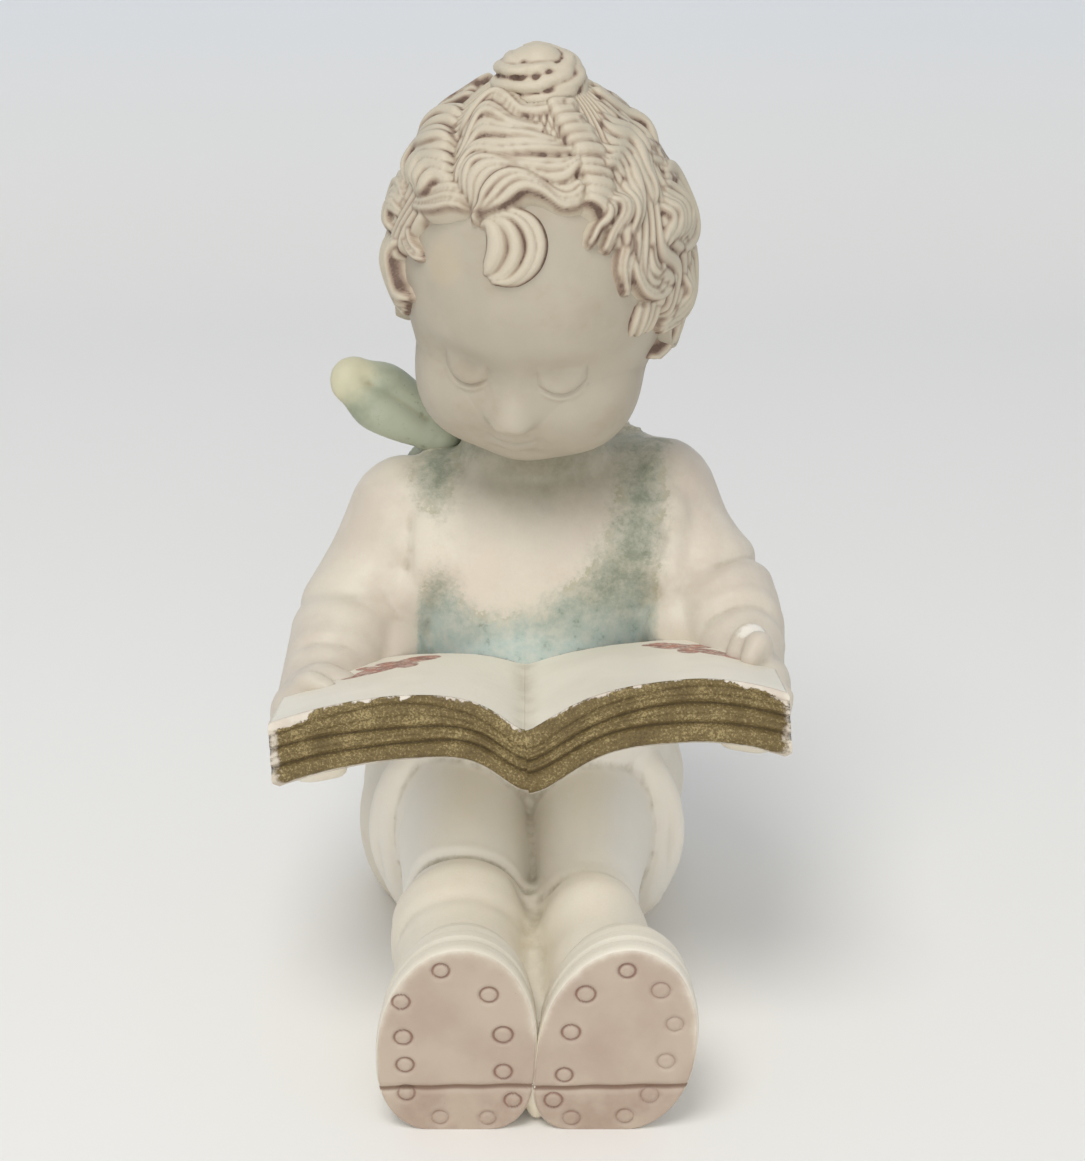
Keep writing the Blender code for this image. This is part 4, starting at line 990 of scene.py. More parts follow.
def handForms(side):
    # a palm at the book's end, two fingers on the page and three curled round the cover
    inward = np.array([-side, 0, 0])
    yield ball(atBookEdge(side, *hands["palm"]) + inward * hands["palmInward"], hands["palmRadii"],
               openBook["turn"])
    page, lift = openBook["thickness"] / 2, hands["lift"][side]
    for back, length, fat in hands["onPage"]:
        reach = length * hands["reach"][side]
        root = atBookEdge(side, back + 1, page + 0.2) + inward * 2.5
        knuckle = atBookEdge(side, back - 0.5, page + 2.2 + lift) + inward * (reach * 0.6)
        tip = atBookEdge(side, back - 2.2, page + 1.6) + inward * reach
        yield limb([(*root, fat, fat), (*knuckle, fat, fat * 0.9), (*tip, fat * 0.8, fat * 0.7)],
                   16, 20)
    for k in range(hands["under"]):
        back = hands["underStart"] - hands["underGap"] * k
        outer = atBookEdge(side, back, 0.5) - inward * 0.1
        under = atBookEdge(side, back, -page - 0.8) + inward * 2.0
        end = atBookEdge(side, back, -page - 0.8) + inward * 7.5
        yield limb([(*outer, 2.1, 2.1), (*under, 2.1, 2.1), (*end, 1.8, 1.8)], 16, 20, (0, -1, 0.2))


def bodyForms():
    # trunk, neck, seat and, on each side, shoulder, leg, cuff, arm, hand and strap
    yield limb(body["trunk"], 60, 64, (0, -1, 0), 2.8)
    yield limb(body["neck"], 12, 40, (0, -1, 0))
    for middle, radii in body["rounds"]:
        yield ball(middle, radii)
    yield limb(body["betweenLegs"], 16, 24)
    for side in (-1, 1):
        yield ball((side * 13, 4, 65 + side), body["shoulder"])
        yield limb(body["legs"][side], 60, 48)
        middle, reach = body["cuffs"][side]
        turn = np.radians(np.linspace(-200, 160, 60))
        cuff = np.stack([middle + reach * np.cos(turn), -9.5 + 2.5 * np.sin(turn),
                         17 + 14.2 * np.sin(turn)], -1)
        wide = np.full(60, body["cuffWidth"])
        yield sweep(cuff, wide, wide, np.tile([0, -1.0, 0.0], (60, 1)), 20)
        wrist = atBookEdge(side, 10.5, 2.0) - np.array([side * 4.0, 0, 0])
        stations = [(x, y, z, r, r) for x, y, z, r in body["arms"][side]]
        stations.append((*wrist, body["wrist"], body["wrist"]))
        yield limb(stations, 50, 40)
        x, y, z, _ = body["arms"][side][2]
        yield ball((x - side * 5.5, y - 4, z - 4), body["armpit"])
        for back, rise, radii in body["sleeveRounds"]:
            yield ball((side * 20.2, back, z + rise), radii)
        yield from handForms(side)
        lift = 2.4 if side > 0 else 0
        yield limb([(side * 12.5, -7, 52, 7.0, 1.5), (side * 12.8, -10, 62 + lift * 0.4, 6.2, 1.5),
                    (side * 13, -5.5, 70.5 + lift * 0.6, 5.6, 1.5),
                    (side * 12.8, 3, 74.2 + lift * 0.8, 5.2, 1.5),
                    (side * 12, 11.5, 70, 5.2, 1.5), (side * 11, 15.5, 60, 5.6, 1.5),
                    (side * 10.5, 15, 50, 6, 1.5)], 50, 24, (0, -1, 0.6))


def bodyForm():
    # the melted forms, pressed in along each fold by depth times exp(-(distance/width)^2) and
    # raised a little beside it, with layers for the paint
    points, quads, fans = fused(list(bodyForms()), body["voxel"], body["smoothing"])
    normals = normalsOf(points, quads, fans)
    edges = edgesOf(quads, fans)
    pressed = np.zeros(len(points))
    for line, depth, width in body["folds"]:
        far = toPolyline(points, spline(line, 28))
        toEnd = np.minimum(*(np.linalg.norm(points - np.array(line[k]), axis=-1) for k in (0, -1)))
        fade = smoothStep(toEnd / (2.6 * width))
        pressed += fade * depth * (bump(far, width) - 0.22 * bump(far - 2.4 * width, 1.1 * width))
    points = points - normals * pressed[:, None]
    points[:, 2] = np.maximum(points[:, 2], groundOff)
    x, y, z = points.T
    front = smoothStep((4 - y) / 3)
    bib = np.minimum(fromOutline(x, z, body["bib"]), -fromOutline(x, z, body["chestOpening"]))
    bib = np.minimum(bib, (z - 41) * 0.5)
    onArm = (np.abs(x) > 18.4) & (z < 60)
    bib = np.where(onArm, -3, bib)
    behindStraps = np.minimum(4.6 - np.abs(np.abs(x) - 11.8), (z - 52) * 0.4)
    paint = np.minimum(np.where(y < 3, bib, behindStraps), (78.5 - z) * 1.2)    # none up the neck
    paint = averaged(paint, edges, 2)
    # painted shade: darker on the upper sleeves and the upper front of the chest
    onSleeve = smoothStep((np.abs(x) - 17) / 4)
    dusty = (onSleeve * smoothStep((z - 42) / 6)
             + 0.6 * (1 - onSleeve) * smoothStep((z - 50) / 6) * front)
    # painted light: the thighs under the book are made paler
    clean = smoothStep((37 - z) / 4) * smoothStep((y + 44) / 8) * smoothStep((-6 - y) / 6)
    worn = bump(np.hypot(x + 16.0, z - 64.0), 5.4) * front
    chip = bump(np.linalg.norm(points - body["chip"][0], axis=-1), body["chip"][1])
    blot = bump(np.linalg.norm((points - body["blot"]) / (1.0, 1.6, 2.1), axis=-1), 0.9)
    # painted shade under the chin
    chin = bump(np.linalg.norm((points - body["underChin"]) * (0.6, 1, 1.1), axis=-1), 9.0)
    return (points, quads, fans), {"bibEdge": paint - 4.5 * worn,
                                   "hollow": hollowness(points, quads, fans),
                                   "fold": averaged(pressed, edges, 1), "chip": chip, "blot": blot,
                                   "underChin": chin, "dusty": dusty, "clean": clean}


# Bow: a knot, two loops and two tails, melted and creased

bow = {
    "voxel": 0.45, "smoothing": 8, "knot": (-15.5, 7.5, 76.5), "knotRadii": (3.6, 3.6, 3.4),
    "face": (0.3, -0.8, 0.5), "crease": (0.7, 1.1),     # which way the loops' broad side looks
    "root": (-17.0, 6.5, 78.6), "tails": [-19.5, -12.5],
    "loops": [((-30.2, 5.8, 87.2), 5.6), ((-8, 18, 73.5), 4.4)],    # tip and half width
}


def bowForm():
    # a loop is a limb from the root to its tip, with a crease along the middle of its face
    skins = [ball(bow["knot"], bow["knotRadii"])]
    root = np.array(bow["root"])
    for tip, fat in bow["loops"]:
        tip = np.array(tip)
        rows = [(*(root + (tip - root) * t), fat * w, fat * 0.62 * w)
                for t, w in ((0, 0.72), (0.28, 0.92), (0.58, 1.0), (0.84, 0.72))]
        skins.append(limb(rows, 30, 40, bow["face"]))
    for reach in bow["tails"]:
        skins.append(limb([(-16, 8.5, 75, 2.2, 1.2), (reach + 1, 15.5, 69, 3.0, 1.2),
                           (reach, 18.5, 60, 3.4, 1.2)],
                          24, 24, (0, 1, 0.3)))
    points, quads, fans = fused(skins, bow["voxel"], bow["smoothing"])
    normals = normalsOf(points, quads, fans)
    pressed = np.zeros(len(points))
    depth, width = bow["crease"]
    for tip, fat in bow["loops"]:
        tip = np.array(tip)
        ahead = unit(tip - root)
        face = unit(np.cross(np.cross(ahead, bow["face"]), ahead)) * fat * 0.6
        line = np.array([root + ahead * 1.0 + face * 0.8, root + ahead * 6 + face,
                         root + ahead * 11.5 + face * 0.8])
        pressed += depth * bump(toPolyline(points, line), width)
    points = points - normals * pressed[:, None]
    tip = np.array(bow["loops"][0][0])
    return (points, quads, fans), {"hollow": hollowness(points, quads, fans),
                                   "tipDistance": np.linalg.norm(points - tip, axis=-1)}


# Book: six faces of one block, each a grid of two of its three shares, welded at the edges

def pageRise(across, forward, share):
    # a flat-topped swell on each page, less a dip exp(-(distance/reach)^power) at the gutter
    left, right = openBook["crest"]
    past = np.maximum((left - across) / (1 + left), (across - right) / (1 - right))
    swell = 1 - np.clip(past, 0, 1) ** 2
    away = np.hypot(across - openBook["gutterAt"], 0.022 + 0.03 * (1 - share))
    reach = np.where(across < openBook["gutterAt"], 0.15, 0.23)
    dip = np.exp(-(away / reach) ** (1.3 + 0.5 * (1 - share)))
    return (openBook["swell"] * swell
            - (openBook["swell"] + openBook["gutter"]) * dip * (0.4 + 0.6 * forward))


def leafDent(across, share):
    # dents of the lines between the leaves, plus many faint ones
    dent = np.zeros(np.broadcast(across, share).shape)
    for line, depth, width in openBook["leafLines"]:
        level = np.interp(across, *spline(line, 80).T)
        level = level + 0.012 * np.sin(across * 9 + depth * 20)
        dent += depth * bump(share - level, width)
    fine = np.sin(share * 92 + np.sin(across * 4.1) * 1.7 + across * 2.3)
    return dent + 0.035 * np.maximum(fine, 0)


def bookPoint(across, back, share):
    # across and back run -1 to 1, share 0 (cover) to 1 (page); the lip rounds the page's edge
    lipShare = np.clip((share - 0.9) / 0.1, 0, 1)
    footShare = np.clip((0.08 - share) / 0.08, 0, 1)
    lip = openBook["lip"] * (1 - np.sqrt(1 - 0.98 * lipShare ** 2)) + 0.6 * footShare ** 2
    cover = openBook["coverInset"] * smoothStep((0.1 - share) / 0.1) * 0.4
    dent = leafDent(across, share) * smoothStep((np.abs(back) - 0.8) / 0.15)
    endDent = leafDent(np.sign(across), share) * smoothStep((np.abs(across) - 0.9) / 0.08)
    x = (across * (openBook["width"] / 2 - lip - cover)
         - np.sign(across) * endDent * 0.8 * (np.abs(across) > 0.999))
    y = (-back * (openBook["depth"] / 2 - lip - cover)
         + np.sign(back) * dent * (np.abs(back) > 0.999))
    z = pageRise(across, (back + 1) / 2, share) + (share - 0.5) * openBook["thickness"]
    return np.stack([x, y, z], -1) @ openBook["turn"].T + np.array(openBook["middle"])


def bookForm():
    acrossRow = np.unique(np.concatenate([np.linspace(-1, 1, openBook["rowsAcross"]),
                                          np.linspace(-0.1, 0.06, openBook["rowsInGutter"]),
                                          [-0.999, 0.999]]))
    backRow = np.linspace(-1, 1, openBook["rowsBack"])
    shareRow = np.linspace(0, 1, openBook["rowsUp"])
    points, quads, spots, start = [], [], [], 0

    def addFace(first, second, build):
        nonlocal start
        p, q = np.meshgrid(first, second, indexing="ij")
        across, back, share = build(p, q)
        points.append(bookPoint(across, back, share).reshape(-1, 3))
        spots.append(np.stack([across, back, share], -1).reshape(-1, 3))
        rows, columns = p.shape
        i, j = np.meshgrid(np.arange(rows - 1), np.arange(columns - 1), indexing="ij")
        a = (start + i * columns + j).ravel()
        quads.append(np.stack([a, a + columns, a + columns + 1, a + 1], -1))
        start += rows * columns

    one = np.ones_like
    addFace(acrossRow, backRow, lambda p, q: (p, q, one(p)))
    addFace(acrossRow, backRow, lambda p, q: (p, -q, 0 * p))
    addFace(acrossRow, shareRow, lambda p, q: (p, one(p), q))
    addFace(acrossRow, shareRow, lambda p, q: (-p, -one(p), q))
    addFace(backRow, shareRow, lambda p, q: (-one(p), p, q))
    addFace(backRow, shareRow, lambda p, q: (one(p), -p, q))
    points, quads, spots = np.vstack(points), np.vstack(quads), np.vstack(spots)
    # weld: vertices with the same shares are one
    key = np.round(spots * 1e5).astype(np.int64)
    _, first, number = np.unique(key, axis=0, return_index=True, return_inverse=True)
    points, spots, quads = points[first], spots[first], number.ravel()[quads]
    skin = (points, quads, np.zeros((0, 3), int))
    return skin, {"spot": spots, "hollow": hollowness(*skin, spread=4)}


# Shoes: outlines stacked from the sole's face back to the instep, and a face of its own
# for the sole, with a ring pressed in at each stud

shoes = {
    "middle": {-1: -11.0, 1: 11.0}, "plane": -71.2, "width": 22.2, "height": 29.0, "depth": 14.0,
    "outerCorner": {-1: 2.6, 1: 2.4}, "innerCorner": 3.6, "lean": {-1: 0.05, 1: 0.11},
    "profile": [(0.0, 0.96), (0.012, 0.978), (0.04, 0.992), (0.08, 1.0), (0.17, 1.0),
                (0.21, 0.965), (0.235, 0.93),
                (0.26, 0.955), (0.31, 0.985), (0.42, 0.98), (0.46, 0.955), (0.485, 0.925),
                (0.51, 0.945), (0.6, 0.95), (0.82, 0.87), (1.0, 0.70)],
    "seam": 6.6, "seamDepth": 0.5, "ringRadius": 1.14, "ringWidth": 0.23, "ringDepth": 0.42,
    "studs": {
        -1: [(-13.0, 24.7), (-6.5, 21.0), (-18.5, 19.9), (-4.6, 14.8), (-18.3, 14.4),
             (-18.1, 10.1), (-4.6, 9.0), (-18.0, 5.6), (-3.3, 4.5), (-13.4, 1.8), (-6.8, 1.7)],
        1: [(12.3, 24.7), (6.7, 21.1), (16.9, 21.7), (4.7, 15.2), (18.9, 16.5), (3.8, 8.5),
            (17.8, 10.7), (2.3, 4.5), (15.6, 5.3), (4.8, 1.7), (12.2, 2.0)]},
}


def soleOutline(side, count=240):
    # a superellipse whose power is higher at its lower corners
    turn = np.linspace(0, 2 * math.pi, count, endpoint=False)
    outwardSide = np.cos(turn) * side > 0
    low = np.sin(turn) < 0
    corner = np.where(outwardSide, shoes["outerCorner"][side], shoes["innerCorner"])
    power = np.where(low, corner, 2.05)
    reach = (np.abs(np.cos(turn)) ** power + np.abs(np.sin(turn)) ** power) ** (-1 / power)
    tall = np.where(low, 0.46, 0.54)
    return np.stack([np.cos(turn) * reach / 2, np.sin(turn) * reach * tall], -1)


def shoeForm(side):
    # the sole's face is the outline shrunk to its middle in rings; the upper is the outline
    # carried back along its profile
    outline = soleOutline(side)
    rings = []
    depthOf, scaleOf = np.array(shoes["profile"]).T
    stretch = np.concatenate([np.linspace(0, 0.56, 60), np.linspace(0.58, 1, 18)])
    stack = [(0.0, s * 0.96) for s in np.linspace(0.02, 0.995, 66)]
    stack += list(zip(stretch, np.interp(stretch, depthOf, scaleOf)))
    for depth, scale in stack:
        rise = outline[:, 1] * shoes["height"] * scale
        x = (shoes["middle"][side] + outline[:, 0] * shoes["width"] * scale
             + shoes["lean"][side] * rise)
        z = shoes["height"] * 0.46 + rise
        rings.append(np.stack([x, np.full(len(x), shoes["plane"] + depth * shoes["depth"]), z], -1))
    points, quads, fans = closedGrid(np.array(rings))
    x, y, z = points.T
    face = smoothStep((shoes["plane"] + 0.5 - y) / 0.4)
    ring = np.zeros(len(points))
    for sx, sz in shoes["studs"][side]:
        far = np.hypot((x - sx) * 0.92, z - groundOff - sz)
        firm = 0.7 if sx > 15 else 1.0 - 0.25 * (sz < 3)
        size = shoes["ringRadius"] * (1 + 0.08 * math.sin(sx + sz * 3))
        ring = np.maximum(ring, firm * bump(far - size, shoes["ringWidth"]))
    sag = 0.06 * np.sin(x * 0.9 + side)
    seam = bump(z - groundOff - shoes["seam"] - sag - 0.02 * (x - shoes["middle"][side]), 0.5)
    rim = np.maximum(bump((y - shoes["plane"]) / shoes["depth"] - 0.235, 0.03),
                     bump((y - shoes["plane"]) / shoes["depth"] - 0.485, 0.03))
    press = (shoes["ringDepth"] * ring + shoes["seamDepth"] * seam) * face
    dented = points + np.array([0, 1.0, 0]) * press[:, None]
    dented[:, 2] = np.maximum(dented[:, 2], groundOff)
    skin = (dented, quads, fans)
    return skin, {"ring": ring * face, "seam": seam * smoothStep((shoes["plane"] + 2.6 - y) / 0.6),
                  "sole": smoothStep((shoes["plane"] + 0.5 - y) / 0.4), "rim": rim,
                  "inset": np.concatenate([np.repeat(1 - np.array(stack)[:, 1] ** 9, len(outline)),
                                           [1, 0]]),
                  "hollow": hollowness(dented, quads, fans, 4)}


# Materials

def skinMaterial():
    # duller and more yellowed than the body: painted shade, the head and ears mixed toward a darker
    # colour; with cream and tan patches
    paint = Paint("shadedHeadIvoryResin")
    # painted shade: the head is a darker copy of the body's ivory resin
    tone = paint.mix(0.8, resinTone(paint, 0.6), resin["headShade"])
    spot = (paint.layer("spotted") + (paint.noise(260, 4, 0.6) - 0.5) * 0.8).ramp(0.3, 0.8)
    tone = paint.mix(spot * 0.25, tone, resin["stain"])
    pale = paint.noise(70, 5, 0.6).ramp(0.42, 0.66)
    tone = paint.mix(pale * 0.3, tone, resin["cream"])
    tan = paint.noise(95, 5, 0.62,
                      paint.stretched(paint.place, (1, 1, 1.4), (0.7, 1.9, 0.5))).ramp(0.5, 0.72)
    tone = paint.mix(tan * 0.3, tone, resin["tan"])
    tone = grimed(paint, tone, paint.layer("hollow"), 0.5, 0.015, 0.10, "wash")
    return paint.finish(tone, resin["roughness"] + paint.noise(300, 2).ramp(0.3, 0.7) * 0.08,
                        resinRelief(paint), 0.00006, 0.5, **glowing())


hairFinish = {"ridge": linear(201, 191, 171), "middle": linear(176, 160, 140),
              "groove": linear(134, 112, 98), "line": linear(92, 70, 60)}


def hairMaterial():
    # cream ridges rubbed clean, a mauve-brown wash that darkens into the grooves
    paint = Paint("washedHairResin")
    groove, tone = paint.layer("groove"), paint.layer("lockTone")
    course = paint.vectorLayer("course")
    brushed = paint.noise(1.0, 4, 0.6, paint.stretched(course, (0.16, 1.9, 1.0)))
    patchy = paint.noise(150, 4, 0.6)
    depth = groove + (brushed - 0.5) * 0.45 + (patchy - 0.5) * 0.5 + tone * 0.06
    colour = paint.mix(depth.ramp(0.06, 0.6), hairFinish["ridge"], hairFinish["middle"])
    colour = paint.mix(depth.ramp(0.44, 0.88) * 0.95, colour, hairFinish["groove"])
    pits = (groove * 1.1 + (paint.noise(700, 4, 0.65) - 0.5) * 0.9).ramp(0.74, 0.98)
    colour = paint.mix(pits * 0.8, colour, hairFinish["line"])
    grain = paint.noise(2600, 2, 0.7)
    colour = paint.mix(grain.ramp(0.3, 0.75) * 0.12, colour, hairFinish["middle"])
    relief = resinRelief(paint, brushed * 1.2)
    return paint.finish(colour, 0.52 + groove * 0.15, relief, 0.00012, 0.6,
                        **glowing(Subsurface_Weight=0.06))


bibFinish = {"sage": linear(132, 140, 121), "blue": linear(178, 196, 190),
             "dark": linear(100, 110, 88), "shade": linear(104, 103, 76),
             "olive": linear(158, 154, 112)}


def bibPaint(paint, share):
    # sage and blue-grey in clouds, dark green specks, rubbed through to the resin
    height = paint.node("ShaderNodeSeparateXYZ", {}, {"Vector": paint.place}, "Z")
    clouds = paint.noise(95, 4, 0.55) * 0.02 + height
    colour = paint.mix(clouds.ramp(0.054, 0.074), bibFinish["blue"], bibFinish["sage"])
    specks = paint.noise(420, 5, 0.7).ramp(0.58, 0.72)
    colour = paint.mix(specks * 0.6, colour, bibFinish["dark"])
    return paint.mix(share, resinTone(paint, 0.25), colour)


def bodyMaterial():
    # the bib with a ragged, olive edge; painted light on the thighs, painted shade on the sleeves
    # and chest and under the chin, the knocked hand, a red spot, and dirt in the folds
    paint = Paint("bibAndSkinResin")
    edge = paint.layer("bibEdge")
    ragged = (edge + (paint.noise(150, 5, 0.6) - 0.5) * 6.0
              + (paint.noise(1100, 4, 0.75) - 0.5) * 6.0)
    share = ragged.ramp(-2.2, 3.6) * (0.62 + paint.noise(420, 5, 0.75).ramp(0.32, 0.62) * 0.38)
    tone = bibPaint(paint, share * 0.9)
    # painted light on the thighs under the book
    tone = paint.mix(paint.layer("clean") * 0.65, tone, resin["clean"])
    # painted shade on the upper sleeves and chest, in cloudy patches, where the bib paint is thin
    dust = paint.layer("dusty") * (0.2 + paint.noise(75, 5, 0.6).ramp(0.35, 0.65) * 0.4)
    tone = paint.mix(dust * (1 - share), tone, resin["dust"])
    rim = (ragged.ramp(-0.2, 0.5) * (1 - ragged.ramp(0.5, 1.8))
           * paint.noise(330, 3).ramp(0.45, 0.65))
    tone = paint.mix(rim * 0.4, tone, bibFinish["olive"])
    # painted shade under the chin, broken by noise
    tone = paint.mix(paint.layer("underChin") * (0.5 + paint.noise(400, 4, 0.7) * 0.5), tone,
                     bibFinish["shade"])
    chip = (paint.layer("chip") + (paint.noise(420, 4, 0.6) - 0.5) * 1.3).ramp(0.4, 0.75)
    tone = paint.mix(chip * 0.85, tone, resin["chip"])
    blot = (paint.layer("blot") + (paint.noise(700, 4, 0.7) - 0.5) * 0.9).ramp(0.35, 0.6)
    tone = paint.mix(blot * 0.7, tone, bookFinish["motif"])
    tone = grimed(paint, tone, paint.layer("hollow"), 0.5, 0.03, 0.15)
    tone = grimed(paint, tone, paint.layer("fold"), 0.2, 0.4, 1.1)
    low = paint.node("ShaderNodeSeparateXYZ", {}, {"Vector": paint.place}, "Z")
    tone = paint.mix((1 - low.ramp(0.0, 0.008)) * 0.35, tone, resin["stain"])
    return paint.finish(tone, resin["roughness"] + share * 0.12, resinRelief(paint, share * 0.5),
                        0.00008, 0.5, **glowing())


bowFinish = {"green": linear(146, 153, 132), "rubbed": linear(174, 179, 158),
             "tip": linear(200, 196, 168)}


def bowMaterial():
    # two greens in clouds with dark specks, rubbed to cream at the loop's tip
    paint = Paint("greenBowResin")
    tip = paint.layer("tipDistance") + (paint.noise(160, 4, 0.6) - 0.5) * 9
    green = paint.mix(paint.noise(120, 4).ramp(0.4, 0.65), bowFinish["green"], bowFinish["rubbed"])
    green = paint.mix(paint.noise(480, 5, 0.7).ramp(0.58, 0.72) * 0.5, green, bibFinish["dark"])
    tone = paint.mix(tip.ramp(2.0, 8.5), bowFinish["tip"], green)
    tone = grimed(paint, tone, paint.layer("hollow"), 0.6, 0.015, 0.09)
    return paint.finish(tone, 0.5, resinRelief(paint), 0.00008, 0.5, **glowing())


bookFinish = {"gold": linear(112, 95, 57), "goldLight": linear(168, 150, 104),
              "goldDark": linear(78, 62, 38),
              "page": linear(240, 234, 219), "motif": linear(172, 98, 80),
              "motifDark": linear(132, 74, 60)}
# generic leaves on each page: middle across and back, half length, half width, turn in degrees
sprig = [
    (-0.62, -0.38, 0.130, 0.066, -44), (-0.46, -0.74, 0.115, 0.060, -40),
    (-0.56, -0.62, 0.085, 0.050, 12),
    (-0.50, -0.48, 0.080, 0.048, -80), (-0.71, -0.24, 0.065, 0.045, -15),
    (-0.67, -0.54, 0.055, 0.036, 40),
    (0.60, -0.64, 0.125, 0.066, 43), (0.76, -0.34, 0.115, 0.060, 40),
    (0.69, -0.60, 0.085, 0.050, -12),
    (0.66, -0.38, 0.080, 0.048, 80), (0.85, -0.20, 0.060, 0.042, 20),
    (0.53, -0.80, 0.060, 0.042, 5)]


def bookMaterial():
    # olive-gold on the leaf edges with a ragged upper line, bare resin on the pages and corners
    paint = Paint("giltEdgeBookResin")
    spot = paint.vectorLayer("spot")
    across = paint.node("ShaderNodeSeparateXYZ", {}, {"Vector": spot}, "X")
    back = paint.node("ShaderNodeSeparateXYZ", {}, {"Vector": spot}, "Y")
    share = paint.node("ShaderNodeSeparateXYZ", {}, {"Vector": spot}, "Z")
    absAcross = across.most(across * -1)
    absBack = back.most(back * -1)
    hollow = paint.layer("hollow")
    torn = paint.noise(260, 5, 0.7) - 0.5
    fine = paint.noise(1500, 3, 0.7) - 0.5
    onEdge = (absBack - 0.985).ramp(0.0, 0.01)
    below = (1.01 - share + torn * 0.42 + fine * 0.12
             - absAcross.ramp(0.72, 1.0) * 0.17).ramp(0.0, 0.03)
    aboveFoot = (share - 0.012 + torn * 0.05 + fine * 0.03).ramp(0.0, 0.02)
    bareEnds = 1 - (absAcross + torn * 0.12 + fine * 0.05).ramp(0.965, 0.995) * 0.85
    onEnds = ((absAcross - 0.995).ramp(0.0, 0.004)
              * (hollow * 9 + torn * 1.6).ramp(0.35, 0.75) * 0.75)
    gold = (onEdge * below * aboveFoot * bareEnds).most(onEnds)
    under = ((1 - share.ramp(0.0, 0.02))
             * (paint.noise(120, 4, 0.6) + absBack * 0.2).ramp(0.62, 0.78) * 0.4)
    gold = gold.most(under)
    # speckled gilt: light dust on the ridges, dark in the lines
    dust = paint.noise(3000, 3, 0.8) + (paint.noise(240, 4, 0.6) - 0.5) * 0.5
    gilt = paint.mix(dust.ramp(0.5, 0.68), bookFinish["gold"], bookFinish["goldLight"])
    gilt = paint.mix((1 - dust.ramp(0.30, 0.46)) * 0.7, gilt, bookFinish["goldDark"])
    gilt = paint.mix(hollow.ramp(0.012, 0.07), gilt, bookFinish["goldDark"])
    page = paint.mix(paint.noise(60, 4).ramp(0.4, 0.65) * 0.4, bookFinish["page"], resin["ivory"])
    # painted shade in the gutter's dip, with a little dirt
    gutter = 1 - (across - openBook["gutterAt"]).most(
        (across - openBook["gutterAt"]) * -1).ramp(0.0, 0.10)
    grit = paint.noise(200, 3, 0.5).ramp(0.4, 0.62)
    page = paint.mix(gutter * gutter * (0.2 + grit * 0.2), page, resin["grimeAndShade"])
    page = paint.mix(paint.noise(420, 5, 0.75).ramp(0.66, 0.74) * 0.35, page, resin["stain"])
    mark = None
    for u, v, length, width, angle in sprig:
        a = math.radians(angle)
        du, dv = (across - u) * 2.0, back - v       # the page is twice as wide as it is deep
        run = (du * math.cos(a) + dv * math.sin(a)) / (length * 2)
        off = (dv * math.cos(a) - du * math.sin(a)) / (width * 2)
        leaf = 1 - (run * run + off * off + torn * 0.9 + fine * 0.5).ramp(0.75, 1.05)
        mark = leaf if mark is None else mark.most(leaf)
    printed = (mark * (share - 0.97).ramp(0, 0.01)
               * (0.45 + paint.noise(700, 4, 0.75).ramp(0.36, 0.55) * 0.55))
    page = paint.mix(printed * 0.9, page,
                     paint.mix(paint.noise(520, 3).ramp(0.4, 0.6), bookFinish["motif"],
                               bookFinish["motifDark"]))
    # painted shade: the page-coloured front and back faces of the block are darkened
    page = paint.mix(onEdge * (0.4 + grit * 0.3), page, resin["dust"])
    tone = paint.mix(gold, page, gilt)
    tone = grimed(paint, tone, hollow, 0.5, 0.03, 0.12)
    relief = resinRelief(paint, gold * (0.8 + dust * 1.6))
    return paint.finish(tone, 0.44 + gold * 0.2, relief, 0.00016, 0.7,
                        **glowing(Subsurface_Weight=0.05))


soleFinish = {"face": linear(184, 167, 149), "mauve": linear(172, 150, 134),
              "ring": linear(138, 104, 90), "seam": linear(120, 92, 72)}


def shoeMaterial():
    # mauve-beige wash on the soles, rubbed to ivory at the rim; brown in the rings and the seam
    paint = Paint("washedShoeResin")
    sole, ring, seam = paint.layer("sole"), paint.layer("ring"), paint.layer("seam")
    rubbed = (paint.noise(110, 5, 0.6) - 0.5)
    height = paint.node("ShaderNodeSeparateXYZ", {}, {"Vector": paint.place}, "Z")
    low = 1 - height.ramp(0.003, 0.018)
    wash = (sole + paint.layer("inset") * 0.8 + low * 0.7 + rubbed * 1.3).ramp(0.85, 1.6) * sole
    face = paint.mix((paint.noise(70, 4) + rubbed * 0.4).ramp(0.38, 0.66), soleFinish["face"],
                     soleFinish["mauve"])
    face = paint.mix(paint.noise(900, 4, 0.75).ramp(0.66, 0.76) * 0.45, face, soleFinish["ring"])
    tone = paint.mix(wash * 0.9, resinTone(paint, 0.5), face)
    tone = paint.mix((ring + rubbed * 0.5).ramp(0.35, 0.95) * 0.85, tone, soleFinish["ring"])
    tone = paint.mix((paint.layer("rim") + rubbed * 0.8).ramp(0.4, 1.2) * 0.5, tone, resin["grimeAndShade"])
    tone = paint.mix((seam + rubbed * 0.3).ramp(0.35, 0.9) * 0.85, tone, soleFinish["seam"])
    heel = (1 - height.ramp(0.0035, 0.008)) * (0.45 + rubbed * 1.4).ramp(0.1, 0.9)
    tone = paint.mix(heel * 0.6, tone, soleFinish["ring"])
    tone = grimed(paint, tone, paint.layer("hollow"), 0.5, 0.015, 0.08, "wash")
    return paint.finish(tone, 0.5, resinRelief(paint), 0.00008, 0.5,
                        **glowing(Subsurface_Weight=0.08))


# Build

